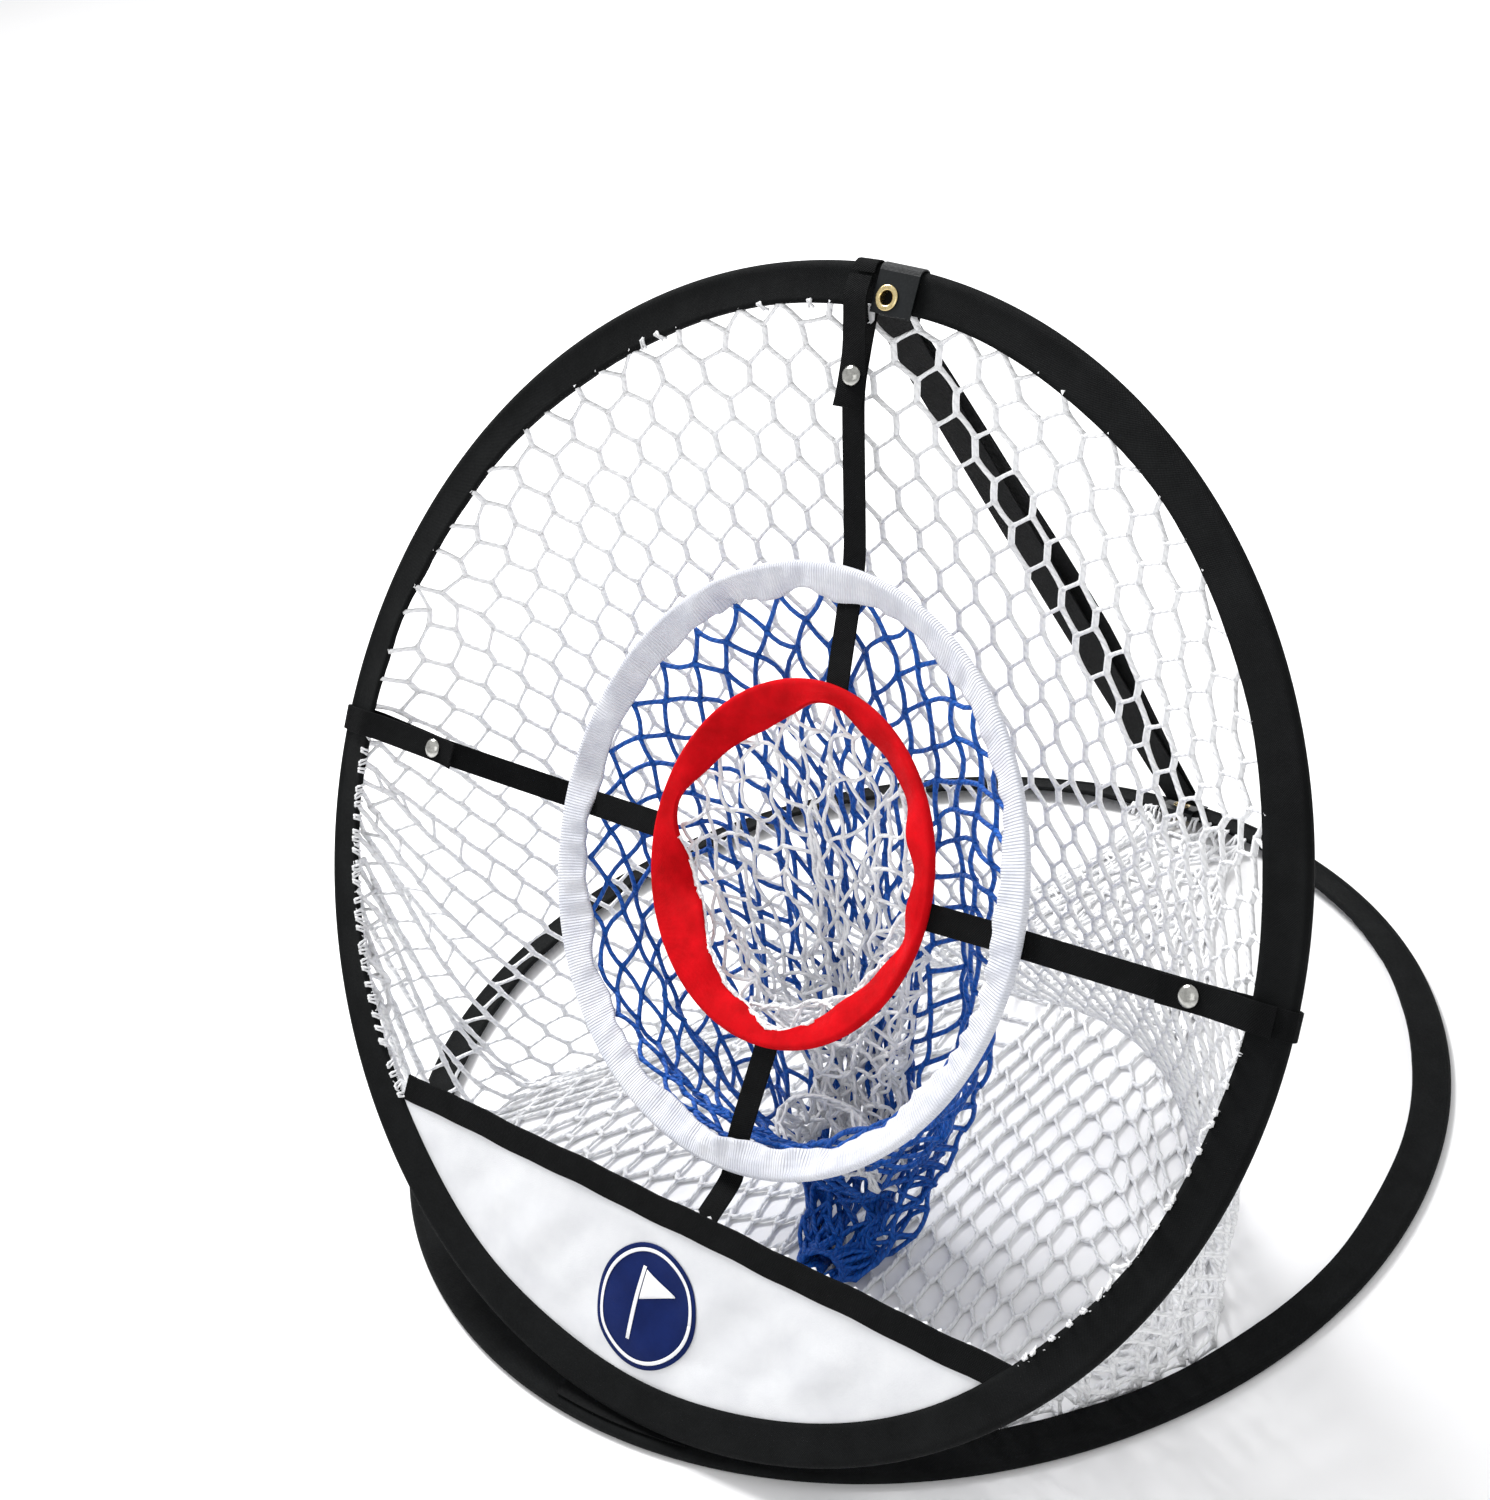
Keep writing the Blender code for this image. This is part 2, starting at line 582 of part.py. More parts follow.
def make_main_net(pivot):
    """The big net hangs from the hoop and the binding, down to the floor and back to the tie."""
    side = math.asin(-NET_CHORD / NET_RIM_R)
    rim = []
    for i in range(31):
        a = -side + (pi + 2 * side) * i / 30
        rim.append(FRONT @ Vector((NET_RIM_R * cos(a), NET_RIM_R * sin(a), NET_RIM_N)))
    reach = NET_RIM_R * cos(side)
    for i in range(1, 8):
        u = -reach + 2 * reach * i / 8
        rim.append(FRONT @ Vector((u, NET_CHORD, NET_RIM_N)))

    def path(start, t):
        low = 1 - smooth_step(0.10, 0.30, start.z)
        droop = Vector((start.x * 0.95, start.y + 0.015, -0.16))
        taut = (start + NET_FOOT) / 2 + Vector((-0.10 * start.x, 0, -0.03))
        bend = droop * low + taut * (1 - low)
        p = start * (1 - t) ** 2 + bend * 2 * t * (1 - t) + NET_FOOT * t * t
        p.z = max(p.z, 0.0032)
        from_middle = Vector((p.x - BASE_X, p.y, 0))
        room = BASE_R - BAND - 0.007 + max(0.0, p.z - 0.014) * 1.5
        if from_middle.length > room:
            p += from_middle * (room / from_middle.length - 1)
        return p

    rows = [0, 0.08, 0.17, 0.28, 0.42, 0.58, 0.74, 0.88, 0.95]
    shell("main_net", rim, path, rows, NET, IDENTITY, pivot)


def make_pocket(name, world, radius, depth, end, bulge, material, pivot):
    """A net pocket that hangs from a target ring down to its tied end."""
    centre = world.translation
    count = 24
    rim = []
    for i in range(count):
        a = 2 * pi * i / count
        rim.append(world @ Vector((radius * cos(a), radius * sin(a), depth)))

    def path(start, t):
        outward = Vector((start.x - centre.x, 0, 0)) + Vector((0, start.y - centre.y, 0))
        outward = outward / radius
        p = start * (1 - t) + end * t + outward * bulge * sin(pi * t)
        p.z = max(p.z, 0.0075)
        return p

    rows = [0, 0.2, 0.4, 0.6, 0.8, 0.93]
    shell(f"{name}_pocket_net", rim, path, rows, material, IDENTITY, pivot)
    knob = [(0, 0.0040), (0.0028, 0.0028), (0.0040, 0), (0.0028, -0.0028), (0, -0.0040)]
    turned(f"{name}_pocket_tie", knob, material, Matrix.Translation(end), pivot, steps=10)


def main():
    fold = Pivot("fold_axis", FOLD)
    make_base()
    make_hoop(fold)
    make_panel(fold)
    make_target_ring("target_ring", TARGET_R, TARGET_BAND, WHITE, TARGET, fold)
    make_target_ring("bullseye_ring", BULL_R, BULL_BAND, RED, BULL, fold)
    make_strap("right", 0.0, RIGHT_ENDS, fold)
    make_strap("left", pi, [-w for w in LEFT_ENDS], fold)
    make_strap("top", pi / 2, [-u for u in TOP_ENDS], fold)
    make_bottom_strap(fold)
    make_rear_strap(fold)
    make_main_net(fold)
    make_pocket("target", TARGET, 0.150, -0.0078, TARGET_POCKET_END, 0.020, BLUE_NET, fold)
    make_pocket("bullseye", BULL, 0.0875, -0.0048, BULL_POCKET_END, 0.006, NET, fold)


main()
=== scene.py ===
"""Looks for the folding golf chipping net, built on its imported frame.

Metres, +Z up. Pieces of the front hoop are laid out in its own plane: u across, w up the
plane, n out of its face. The nets are real cords, relaxed under gravity by a small solver.
"""

import json
import math
from math import cos, pi, radians, sin

import bpy
import numpy as np
from mathutils import Matrix, Vector


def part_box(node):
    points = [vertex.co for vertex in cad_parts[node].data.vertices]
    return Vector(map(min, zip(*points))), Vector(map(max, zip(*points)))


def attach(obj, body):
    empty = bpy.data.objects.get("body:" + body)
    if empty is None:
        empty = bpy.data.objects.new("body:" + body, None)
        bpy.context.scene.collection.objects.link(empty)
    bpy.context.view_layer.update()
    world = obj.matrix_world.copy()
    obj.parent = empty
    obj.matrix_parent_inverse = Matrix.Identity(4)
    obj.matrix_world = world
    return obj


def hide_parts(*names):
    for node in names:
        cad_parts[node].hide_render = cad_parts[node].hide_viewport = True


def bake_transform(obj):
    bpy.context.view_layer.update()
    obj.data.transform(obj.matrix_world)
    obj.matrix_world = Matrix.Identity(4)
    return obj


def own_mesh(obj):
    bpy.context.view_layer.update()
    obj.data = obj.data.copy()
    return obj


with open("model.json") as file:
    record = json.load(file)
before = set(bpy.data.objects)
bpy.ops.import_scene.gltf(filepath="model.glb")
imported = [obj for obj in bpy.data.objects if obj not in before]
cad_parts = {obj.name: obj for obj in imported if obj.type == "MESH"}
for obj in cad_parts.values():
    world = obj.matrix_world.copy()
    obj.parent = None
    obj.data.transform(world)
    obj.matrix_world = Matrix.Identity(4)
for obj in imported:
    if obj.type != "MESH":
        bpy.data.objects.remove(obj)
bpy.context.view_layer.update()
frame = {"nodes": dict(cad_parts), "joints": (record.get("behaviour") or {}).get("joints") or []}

# ------------------------------------ sizes, as in part.py
LEAN = radians(56)
FRONT_R, BASE_R = 0.305, 0.3123
TUBE, BAND = 0.0033, 0.022
TARGET_AT, TARGET_YAW = (0.0012, -0.0055, -0.018), radians(5)
TARGET_R, TARGET_BAND = 0.160, 0.0172
BULL_R, BULL_BAND, BULL_AT = 0.0957, 0.0130, (0.0066, 0.0044)
SMALL_TUBE = 0.0026
STRAP_W, STRAP_T = 0.014, 0.0012
BIND_Y, BIND_W, BIND_TILT = -0.1935, 0.015, radians(-1.9)
SNAP_R = {"right": 0.2529, "left": 0.2336, "top": 0.2480}
HINGE_R, HINGE_N, FLAP_TAIL = 0.2985, 0.0062, 0.016
BEHIND_RING = SMALL_TUBE / cos(pi / 8) + 0.0014 + STRAP_T / 2  # a strap's depth behind a wire
ROUND_HOOP = TUBE / cos(pi / 8) + 0.0004 + STRAP_T / 2  # a strap's distance from the hoop's wire
HOOP_LIFT = radians(14)  # the most that the front sleeve turns out of the hoop's plane

PIVOT = Vector(next(j["pos_m"] for j in frame["joints"] if j["name"] == "fold"))
LOW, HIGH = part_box("base_hoop_sleeve")
BASE_X = (LOW.x + HIGH.x) / 2
FRONT = (
    Matrix.Translation(PIVOT)
    @ Matrix.Rotation(LEAN, 4, "X")
    @ Matrix.Translation((0, FRONT_R - TUBE, 0))
)
TARGET = FRONT @ Matrix.Translation(TARGET_AT) @ Matrix.Rotation(-TARGET_YAW, 4, "Y")
BULL = TARGET @ Matrix.Translation((*BULL_AT, 0))
BASE = Matrix.Translation((BASE_X, 0, TUBE))
FACE = FRONT.to_3x3() @ Vector((0, 0, 1))
RNG = np.random.default_rng(11)


def at(matrix, points):
    """Points moved by a matrix, as a numpy array."""
    m = np.array(matrix)
    return np.asarray(points, float) @ m[:3, :3].T + m[:3, 3]


# ------------------------------------ camera
CAMERA_AT = (0.7733 + BASE_X, -0.8753, 0.9897)
CAMERA_TURN = (44.51, 32.27, -11.46)  # azimuth, elevation and roll in degrees
SENSOR, LENS = 36, 60  # millimetres


def make_camera():
    azimuth, elevation, roll = (radians(turn) for turn in CAMERA_TURN)
    back = Vector((sin(azimuth) * cos(elevation), -cos(azimuth) * cos(elevation), sin(elevation)))
    level = Vector((cos(azimuth), sin(azimuth), 0))
    right = level * cos(roll) + back.cross(level) * sin(roll)
    up = back.cross(right)
    data = bpy.data.cameras.new("camera")
    data.sensor_width = SENSOR
    data.lens = LENS
    camera = bpy.data.objects.new("camera", data)
    bpy.context.scene.collection.objects.link(camera)
    turn = Matrix((right, up, back)).transposed().to_4x4()
    camera.matrix_world = Matrix.Translation(CAMERA_AT) @ turn
    bpy.context.scene.camera = camera


# ------------------------------------ materials
MOTTLE, FIBRE = 55, 900  # noise scales: cloudy patches of a cloth, and its loose fibres


class Look:
    """A node material. Inputs given as sockets are linked, others are set."""

    def __init__(self, name, roughness=0.5, metallic=0.0, **flat):
        self.mat = bpy.data.materials.new(name)
        self.mat.use_nodes = True
        self.tree = self.mat.node_tree
        self.shader = self.tree.nodes["Principled BSDF"]
        self.set(Roughness=roughness, Metallic=metallic, **flat)

    def set(self, **inputs):
        for key, value in inputs.items():
            self.put(self.shader.inputs[key.replace("_", " ")], value)

    def put(self, socket, value):
        if isinstance(value, bpy.types.NodeSocket):
            self.tree.links.new(value, socket)
        elif isinstance(value, tuple) and len(value) == 3 and socket.type == "RGBA":
            socket.default_value = (*value, 1)
        else:
            socket.default_value = value

    def node(self, kind, inputs, out=0, **props):
        made = self.tree.nodes.new("ShaderNode" + kind)
        for key, value in props.items():
            setattr(made, key, value)
        for key, value in inputs.items():
            self.put(made.inputs[key], value)
        return made.outputs[out]

    def math(self, op, a, b=0.0):
        return self.node("Math", {0: a, 1: b}, operation=op)

    def coords(self, kind):
        return self.node("TexCoord", {}, out=kind)

    def split(self, vector):
        return [self.node("SeparateXYZ", {0: vector}, out=k) for k in range(2)]

    def noise(self, vector, scale, detail=3.0, rough=0.5):
        inputs = {"Vector": vector, "Scale": scale, "Detail": detail, "Roughness": rough}
        return self.node("TexNoise", inputs)

    def ramp(self, value, low, high, a=0.0, b=1.0):
        inputs = {0: value, 1: low, 2: high, 3: a, 4: b}
        return self.node("MapRange", inputs)

    def mix(self, share, a, b):
        inputs = {0: share, 6: (*a, 1) if isinstance(a, tuple) else a}
        inputs[7] = (*b, 1) if isinstance(b, tuple) else b
        return self.node("Mix", inputs, out=2, data_type="RGBA")

    def bump(self, height, distance):
        inputs = {"Height": height, "Distance": distance, "Strength": 1.0}
        self.set(Normal=self.node("Bump", inputs))


def woven(name, dark, light, pitch_u, pitch_v, depth, roughness, ribs=False, **flat):
    """Cloth or webbing: a weave at its real pitch along the UVs, with mottled colour and painted
    shade in the weave's hollows.
    """
    look = Look(name, roughness, **flat)
    u, v = look.split(look.coords("UV"))
    along = look.math("SINE", look.math("MULTIPLY", u, 2 * pi / pitch_u))
    across = look.math("SINE", look.math("MULTIPLY", v, 2 * pi / pitch_v))
    weave = along if ribs else look.math("MULTIPLY", along, across)
    if ribs:
        weave = look.math("ADD", weave, look.math("MULTIPLY", across, 0.25))
    obj = look.coords("Object")
    soft = look.noise(obj, MOTTLE, 4, 0.6)
    fine = look.noise(obj, FIBRE, 2)
    height = look.math("ADD", weave, look.math("MULTIPLY", fine, 1.2))
    height = look.math("ADD", height, look.math("MULTIPLY", soft, 3.0))
    look.bump(height, depth)
    share = look.ramp(soft, 0.32, 0.72)
    # painted shade: the colour is darker in the weave's hollows and lighter on its ridges, on top
    # of the random mottle
    mottle_and_painted_weave_shade = look.math("ADD", look.math("MULTIPLY", share, 0.7), look.ramp(weave, -1, 1, 0, 0.3))
    look.set(Base_Color=look.mix(mottle_and_painted_weave_shade, dark, light))
    look.set(Roughness=look.ramp(fine, 0.3, 0.7, roughness - 0.08, roughness + 0.08))
    return look.mat


def cord_look(name, dark, light, pitch, roughness, **flat):
    """Two-ply twisted cord: u runs along the cord in metres, v once round it. Its colour is
    darkened in the grooves between the plies, as painted shade.
    """
    look = Look(name, roughness, **flat)
    u, v = look.split(look.coords("UV"))
    along = look.math("MULTIPLY", u, 2 * pi / pitch)
    turn = look.math("ADD", along, look.math("MULTIPLY", v, 4 * pi))
    ply = look.math("ABSOLUTE", look.math("SINE", look.math("MULTIPLY", turn, 0.5)))
    fibre = look.noise(look.coords("Object"), 2500, 2)
    look.bump(look.math("ADD", ply, look.math("MULTIPLY", fibre, 0.5)), 0.0005)
    soft = look.noise(look.coords("Object"), 40, 2)
    # painted shade: the grooves between the plies get the dark colour
    painted_groove_shade = look.ramp(ply, 0.0, 0.6, 0.45, 1)
    share = look.math("MULTIPLY", painted_groove_shade, look.ramp(soft, 0.3, 0.7, 0.6, 1))
    look.set(Base_Color=look.mix(share, dark, light))
    look.set(Roughness=look.ramp(fibre, 0.3, 0.7, roughness - 0.1, roughness + 0.12))
    return look.mat


def metal_look(name, color, dark, roughness):
    """Metal with cloudy tarnish and fine scratches."""
    look = Look(name, roughness, 1.0)
    obj = look.coords("Object")
    cloud = look.noise(obj, 300, 4, 0.6)
    scratch = look.noise(obj, 2600, 3)
    look.set(Base_Color=look.mix(look.ramp(cloud, 0.35, 0.65), dark, color))
    look.set(Roughness=look.ramp(scratch, 0.3, 0.7, roughness * 0.6, roughness * 1.6))
    look.bump(scratch, 0.00004)
    return look.mat


BLACK = woven(
    "hoop_polyester", (0.0030, 0.0034, 0.0036), (0.0075, 0.0082, 0.0086),
    0.0011, 0.0011, 0.00012, 0.7, Specular_IOR_Level=0.07,
)
WEBBING = woven(
    "strap_webbing", (0.0022, 0.0024, 0.0026), (0.0060, 0.0064, 0.0068),
    0.0012, 0.0016, 0.00016, 0.7, Specular_IOR_Level=0.06,
)
NYLON = woven(
    "wrap_nylon", (0.003, 0.004, 0.0045), (0.008, 0.010, 0.012),
    0.0006, 0.0006, 0.00006, 0.38, Specular_IOR_Level=0.25,
)
# The blue-grey dark colour is painted shade, laid on in random cloudy patches over the white
# ring's cloth.
WHITE = woven(
    "ring_grosgrain", (0.60, 0.62, 0.70), (0.80, 0.81, 0.85),
    0.0016, 0.0040, 0.00022, 0.6, ribs=True, Specular_IOR_Level=0.25,
)
# The dark red is painted shade: the shaded red, mixed in random cloudy patches with the lit red.
RED = woven(
    "ring_red_cloth", (0.36, 0.0015, 0.0030), (0.74, 0.003, 0.009),
    0.0007, 0.0007, 0.00008, 0.6, Specular_IOR_Level=0.04,
)
PANEL = woven(
    "panel_cloth", (0.72, 0.73, 0.76), (0.81, 0.82, 0.84),
    0.0006, 0.0006, 0.00008, 0.45, Specular_IOR_Level=0.3,
)
# Net cords: the grey dark colour is painted shade in the ply grooves.
NET = cord_look("net_cord", (0.80, 0.81, 0.835), (0.94, 0.945, 0.955), 0.0055, 0.32)
# Blue pocket cords: the dark blue is painted shade, taken from the strands' shaded places, and the
# light blue from their lit places.
BLUE = cord_look(
    "pocket_cord_blue", (0.002, 0.020, 0.18), (0.006, 0.115, 0.52),
    0.004, 0.4, Specular_IOR_Level=0.3,
)
STEEL = metal_look("wire_steel", (0.42, 0.43, 0.45), (0.30, 0.31, 0.33), 0.35)
CRIMP = metal_look("crimp_steel", (0.58, 0.59, 0.60), (0.45, 0.46, 0.48), 0.3)
CHROME = metal_look("snap_metal", (0.56, 0.56, 0.53), (0.36, 0.36, 0.34), 0.12)
BRASS = metal_look("eyelet_brass", (0.86, 0.72, 0.40), (0.62, 0.48, 0.22), 0.2)


# ------------------------------------ mesh building
def object_from(name, points, faces, uvs, material, sharp=None):
    """uvs holds one pair for each corner of each face, in the faces' order."""
    mesh = bpy.data.meshes.new(name)
    mesh.from_pydata(np.asarray(points).tolist(), [], faces)
    layer = mesh.uv_layers.new(name="UVMap")
    layer.data.foreach_set("uv", np.asarray(uvs, np.float32).ravel())
    mesh.shade_smooth()
    if sharp:
        mesh.set_sharp_from_angle(angle=radians(sharp))
    mesh.materials.append(material)
    obj = bpy.data.objects.new(name, mesh)
    bpy.context.scene.collection.objects.link(obj)
    return obj


def grid(rows, cols, close_rows, close_cols):
    """Quads of a rows by cols grid of points, and each corner's own row and column."""
    i, j = np.meshgrid(
        np.arange(rows if close_rows else rows - 1),
        np.arange(cols if close_cols else cols - 1),
        indexing="ij",
    )
    corners = np.stack([i, j, i, j + 1, i + 1, j + 1, i + 1, j], -1).reshape(-1, 4, 2)
    quads = (corners[..., 0] % rows) * cols + corners[..., 1] % cols
    return quads, corners


def skin(name, sections, material, close_rows=False, close_cols=True, sharp=40):
    """A surface over sections of points, with UVs in metres and its open ends capped."""
    sections = np.asarray(sections, float)
    rows, cols = sections.shape[:2]
    quads, corners = grid(rows, cols, close_rows, close_cols)
    mids = sections.mean(1)
    steps = np.linalg.norm(np.roll(mids, -1, 0) - mids, axis=1)
    along = np.concatenate([[0], np.cumsum(steps)])
    one = sections[0]
    steps = np.linalg.norm(np.roll(one, -1, 0) - one, axis=1)
    across = np.concatenate([[0], np.cumsum(steps)])
    uvs = [np.stack([along[corners[..., 0]], across[corners[..., 1]]], -1).reshape(-1, 2)]
    faces = quads.tolist()
    if close_cols and not close_rows:
        faces.append(list(range(cols))[::-1])
        faces.append(list(range((rows - 1) * cols, rows * cols)))
        flat = np.stack([np.zeros(cols), across[:cols]], -1)
        uvs += [flat[::-1], flat]
    return object_from(
        name, sections.reshape(-1, 3), faces, np.concatenate(uvs), material, sharp
    )


def cords(name, starts, ends, radius, sides, parts, material, bow=0.0, swell=0.28):
    """Many short cords at once. Each swells at its ends, where it meets others.

    Cords of no length are left out. bow is how far a cord bends, as a share of its length.
    """
    starts, ends = np.asarray(starts), np.asarray(ends)
    real = np.linalg.norm(ends - starts, axis=1) > 1e-5
    radius = np.broadcast_to(radius, len(starts))[real]
    swell = np.broadcast_to(swell, len(starts))[real]
    starts, ends, count = starts[real], ends[real], int(real.sum())
    run = ends - starts
    length = np.linalg.norm(run, axis=1)
    way = run / np.maximum(length, 1e-9)[:, None]
    other = np.where(np.abs(way[:, 2:3]) < 0.8, [[0, 0, 1.0]], [[1.0, 0, 0]])
    e1 = np.cross(way, other)
    e1 /= np.linalg.norm(e1, axis=1)[:, None]
    e2 = np.cross(way, e1)
    t = np.linspace(0, 1, parts + 1)
    reach = radius[:, None] * 0.5
    at_t = -reach + (length[:, None] + 2 * reach) * t
    swell = 1 + swell[:, None] * (2 * t - 1) ** 4
    centre = starts[:, None] + way[:, None] * at_t[..., None]
    turn = RNG.uniform(0, 2 * pi, count)[:, None, None]
    lean = e1[:, None] * np.cos(turn) + e2[:, None] * np.sin(turn)
    size = bow * length[:, None, None] * RNG.uniform(0.3, 1, count)[:, None, None]
    centre = centre + lean * size * np.sin(pi * t)[None, :, None]
    angle = 2 * pi * np.arange(sides) / sides
    around = (
        e1[:, None, None] * np.cos(angle)[None, None, :, None]
        + e2[:, None, None] * np.sin(angle)[None, None, :, None]
    )
    thick = (radius[:, None] * swell)[..., None, None]
    points = centre[:, :, None] + around * thick
    quads, corners = grid(parts + 1, sides, False, True)
    each = (parts + 1) * sides
    base = np.arange(count)[:, None, None] * each
    sides_faces = (quads[None] + base).reshape(-1, 4)
    offset = RNG.uniform(0, 1, count)
    u = offset[:, None, None] + at_t[:, corners[..., 0]]
    v = np.broadcast_to(corners[..., 1] / sides, u.shape)
    uvs = np.stack([u, v], -1).reshape(-1, 2)
    first = np.arange(sides)[::-1][None] + base[:, 0]
    last = np.arange(each - sides, each)[None] + base[:, 0]
    faces = sides_faces.tolist() + first.tolist() + last.tolist()
    ends_uv = np.zeros((2 * count * sides, 2))
    uvs = np.concatenate([uvs, ends_uv])
    return object_from(name, points.reshape(-1, 3), faces, uvs, material)


def smooth_path(points, step):
    """A curve through the points, sampled about every step."""
    p = np.asarray(points, float)
    p = np.concatenate([[2 * p[0] - p[1]], p, [2 * p[-1] - p[-2]]])
    out = []
    for a, b, c, d in zip(p, p[1:], p[2:], p[3:]):
        count = max(1, round(np.linalg.norm(c - b) / step))
        for k in range(count):
            t = k / count
            pull = (c - a) * 0.35, (d - b) * 0.35
            h = 2 * t**3 - 3 * t**2 + 1, t**3 - 2 * t**2 + t, -2 * t**3 + 3 * t**2, t**3 - t**2
            out.append(h[0] * b + h[1] * pull[0] + h[2] * c + h[3] * pull[1])
    return np.array([*out, p[-2]])


def ribbon(name, path, across, width, thickness, material, step=0.004, twist=None):
    """Webbing with rounded edges. across may change along it, and twist turns it (radians)."""
    path = smooth_path(path, step)
    count = len(path)
    across = np.broadcast_to(np.asarray(across, float), (count, 3))
    tangent = np.gradient(path, axis=0)
    tangent /= np.linalg.norm(tangent, axis=1)[:, None]
    normal = np.cross(tangent, across)
    normal /= np.linalg.norm(normal, axis=1)[:, None]
    side = np.cross(normal, tangent)
    if twist is not None:
        a = np.interp(np.linspace(0, 1, count), *twist)[:, None]
        side, normal = (
            side * np.cos(a) + normal * np.sin(a), normal * np.cos(a) - side * np.sin(a)
        )
    w, h = width / 2, thickness / 2
    shape = [(-w, 0), (-w + h * 0.5, -h), (-w * 0.5, -h), (w * 0.5, -h), (w - h * 0.5, -h)]
    shape += [(w, 0), (w - h * 0.5, h), (w * 0.5, h), (-w * 0.5, h), (-w + h * 0.5, h)]
    x = np.array([s[0] for s in shape])[None, :, None]
    y = np.array([s[1] for s in shape])[None, :, None]
    sections = path[:, None] + side[:, None] * x + normal[:, None] * y
    return skin(name, sections, material, sharp=50)


def finish_piece(obj, body, slot, *nodes):
    """Puts a piece on its body, in place of the CAD nodes that are named. slot is not used."""
    if nodes:
        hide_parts(*nodes)
    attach(obj, body)
    return obj


# ------------------------------------ hoops and rings
def ripples(seed, low, high, count):
    """A smooth repeating wave of the angle and of the place across a band, about 1 high."""
    rng = np.random.default_rng(seed)
    freq = rng.integers(low, high, count)
    phase = rng.uniform(0, 2 * pi, count)
    slant = rng.uniform(-1.5, 1.5, count)
    size = rng.uniform(0.5, 1, count)
    size /= np.sqrt((size**2).sum())

    def wave(angle, across=0.0):
        return sum(
            s * np.sin(f * angle + p + k * across * 2)
            for f, p, k, s in zip(freq, phase, slant, size)
        )

    return wave


def bump_at(angle, centre, width):
    """A bump 1 high on the circle, with its centre and width in degrees."""
    away = np.angle(np.exp(1j * (angle - radians(centre))))
    return np.exp(-((away / radians(width)) ** 2))


FOLD_WALL, FOLD_START = 0.0013, 0.0012  # half a sleeve's thickness, and where it leaves its wire


def sleeve(name, matrix, radius, tube, band, steps, material, lift, ripple, puff, edge):
    """Cloth folded over a wire and laid flat inward, thin at its inner edge.

    lift(angle) turns the band about the wire, ripple(angle, across) moves the flat part up and
    down, puff(angle) thickens it, and edge(angle) adds to the inner edge's radius.
    """
    angle = 2 * pi * np.arange(steps) / steps
    turn = lift(angle)
    across = np.linspace(0, 1, 7)[1:]
    end = band - tube - edge(angle)
    rows = []
    for k in np.radians(np.linspace(-115, 115, 9)):
        rows.append((tube * cos(k) + 0 * angle, tube * sin(k) + 0 * angle))
    for side, shares in ((1, across), (-1, across[::-1])):
        for s in shares:
            x = -(FOLD_START + (end - FOLD_START) * s)
            thick = FOLD_WALL * (1 + 1.1 * (1 - s) ** 2) + puff(angle) * sin(pi * min(s, 0.93))
            y = thick * side + ripple(angle, s) * (0.25 + 0.75 * s)
            rows.append((x * np.cos(turn) + y * np.sin(turn), y * np.cos(turn) - x * np.sin(turn)))
    r = radius + np.stack([row[0] for row in rows], 1)
    z = np.stack([row[1] for row in rows], 1)
    points = np.stack([r * np.cos(angle)[:, None], r * np.sin(angle)[:, None], z], -1)
    return skin(name, at(matrix, points), material, True, sharp=None)


def make_hoops():
    rough, fine = ripples(3, 9, 40, 9), ripples(4, 60, 170, 10)
    kinks = ripples(5, 7, 17, 5)

    def wrinkle(angle, across):
        return 0.00045 * rough(angle, across) + 0.00016 * fine(angle, across)

    front = sleeve(
        "front_hoop_cloth", FRONT, FRONT_R - TUBE, TUBE, BAND, 360, BLACK,
        lift=lambda a: HOOP_LIFT * np.maximum(0, np.cos(2 * a)),
        ripple=wrinkle, puff=lambda a: 0 * a, edge=lambda a: 0.0007 * kinks(a),
    )
    finish_piece(front, "front", "black_sleeve", "front_hoop_sleeve")
    base = sleeve(
        "base_hoop_cloth", BASE, BASE_R - TUBE, TUBE, BAND, 360, BLACK,
        lift=lambda a: radians(15) + radians(7) * np.sin(a),
        ripple=wrinkle, puff=lambda a: 0 * a, edge=lambda a: 0.0007 * kinks(a + 1),
    )
    finish_piece(base, "base", "black_sleeve", "base_hoop_sleeve")


def held(angle, tilt):
    """The nets pull a ring's inner edge back, except where a strap holds it flat."""
    flat = sum(bump_at(angle, k, 9) for k in (0, 88, 180, -86))
    return -radians(tilt) * (1 - np.minimum(flat, 1))


def make_target_ring():
    soft, tight = ripples(8, 10, 26, 8), ripples(9, 40, 90, 10)
    creases = ((101, 1), (114, -0.8), (127, 1), (141, -1), (155, 0.8), (168, -0.7))
    creases += ((-40, 0.6), (-68, -0.6), (-97, 0.6))

    def tilt(angle):
        turned_back = held(angle, 20) - radians(17) * bump_at(angle, 128, 40)
        return turned_back + radians(6) * np.sin(3 * angle + 1) + radians(5) * np.sin(8 * angle)

    def crumple(angle, across):
        slack = 0.5 + 0.6 * bump_at(angle, -70, 60) + 0.9 * bump_at(angle, 130, 42)
        crease = sum(size * bump_at(angle, turn + 9 * across, 4.5) for turn, size in creases)
        waves = 0.0017 * soft(angle, across) + 0.0011 * tight(angle, across)
        return slack * waves + 0.0032 * crease

    ring = sleeve(
        "target_ring_cloth", TARGET, TARGET_R - SMALL_TUBE, SMALL_TUBE, TARGET_BAND, 420, WHITE,
        lift=tilt, ripple=crumple, puff=lambda a: 0.0009 * bump_at(a, -65, 60),
        edge=lambda a: 0.0014 * soft(a + 2),
    )
    finish_piece(ring, "front", "white_sleeve", "target_ring_sleeve")


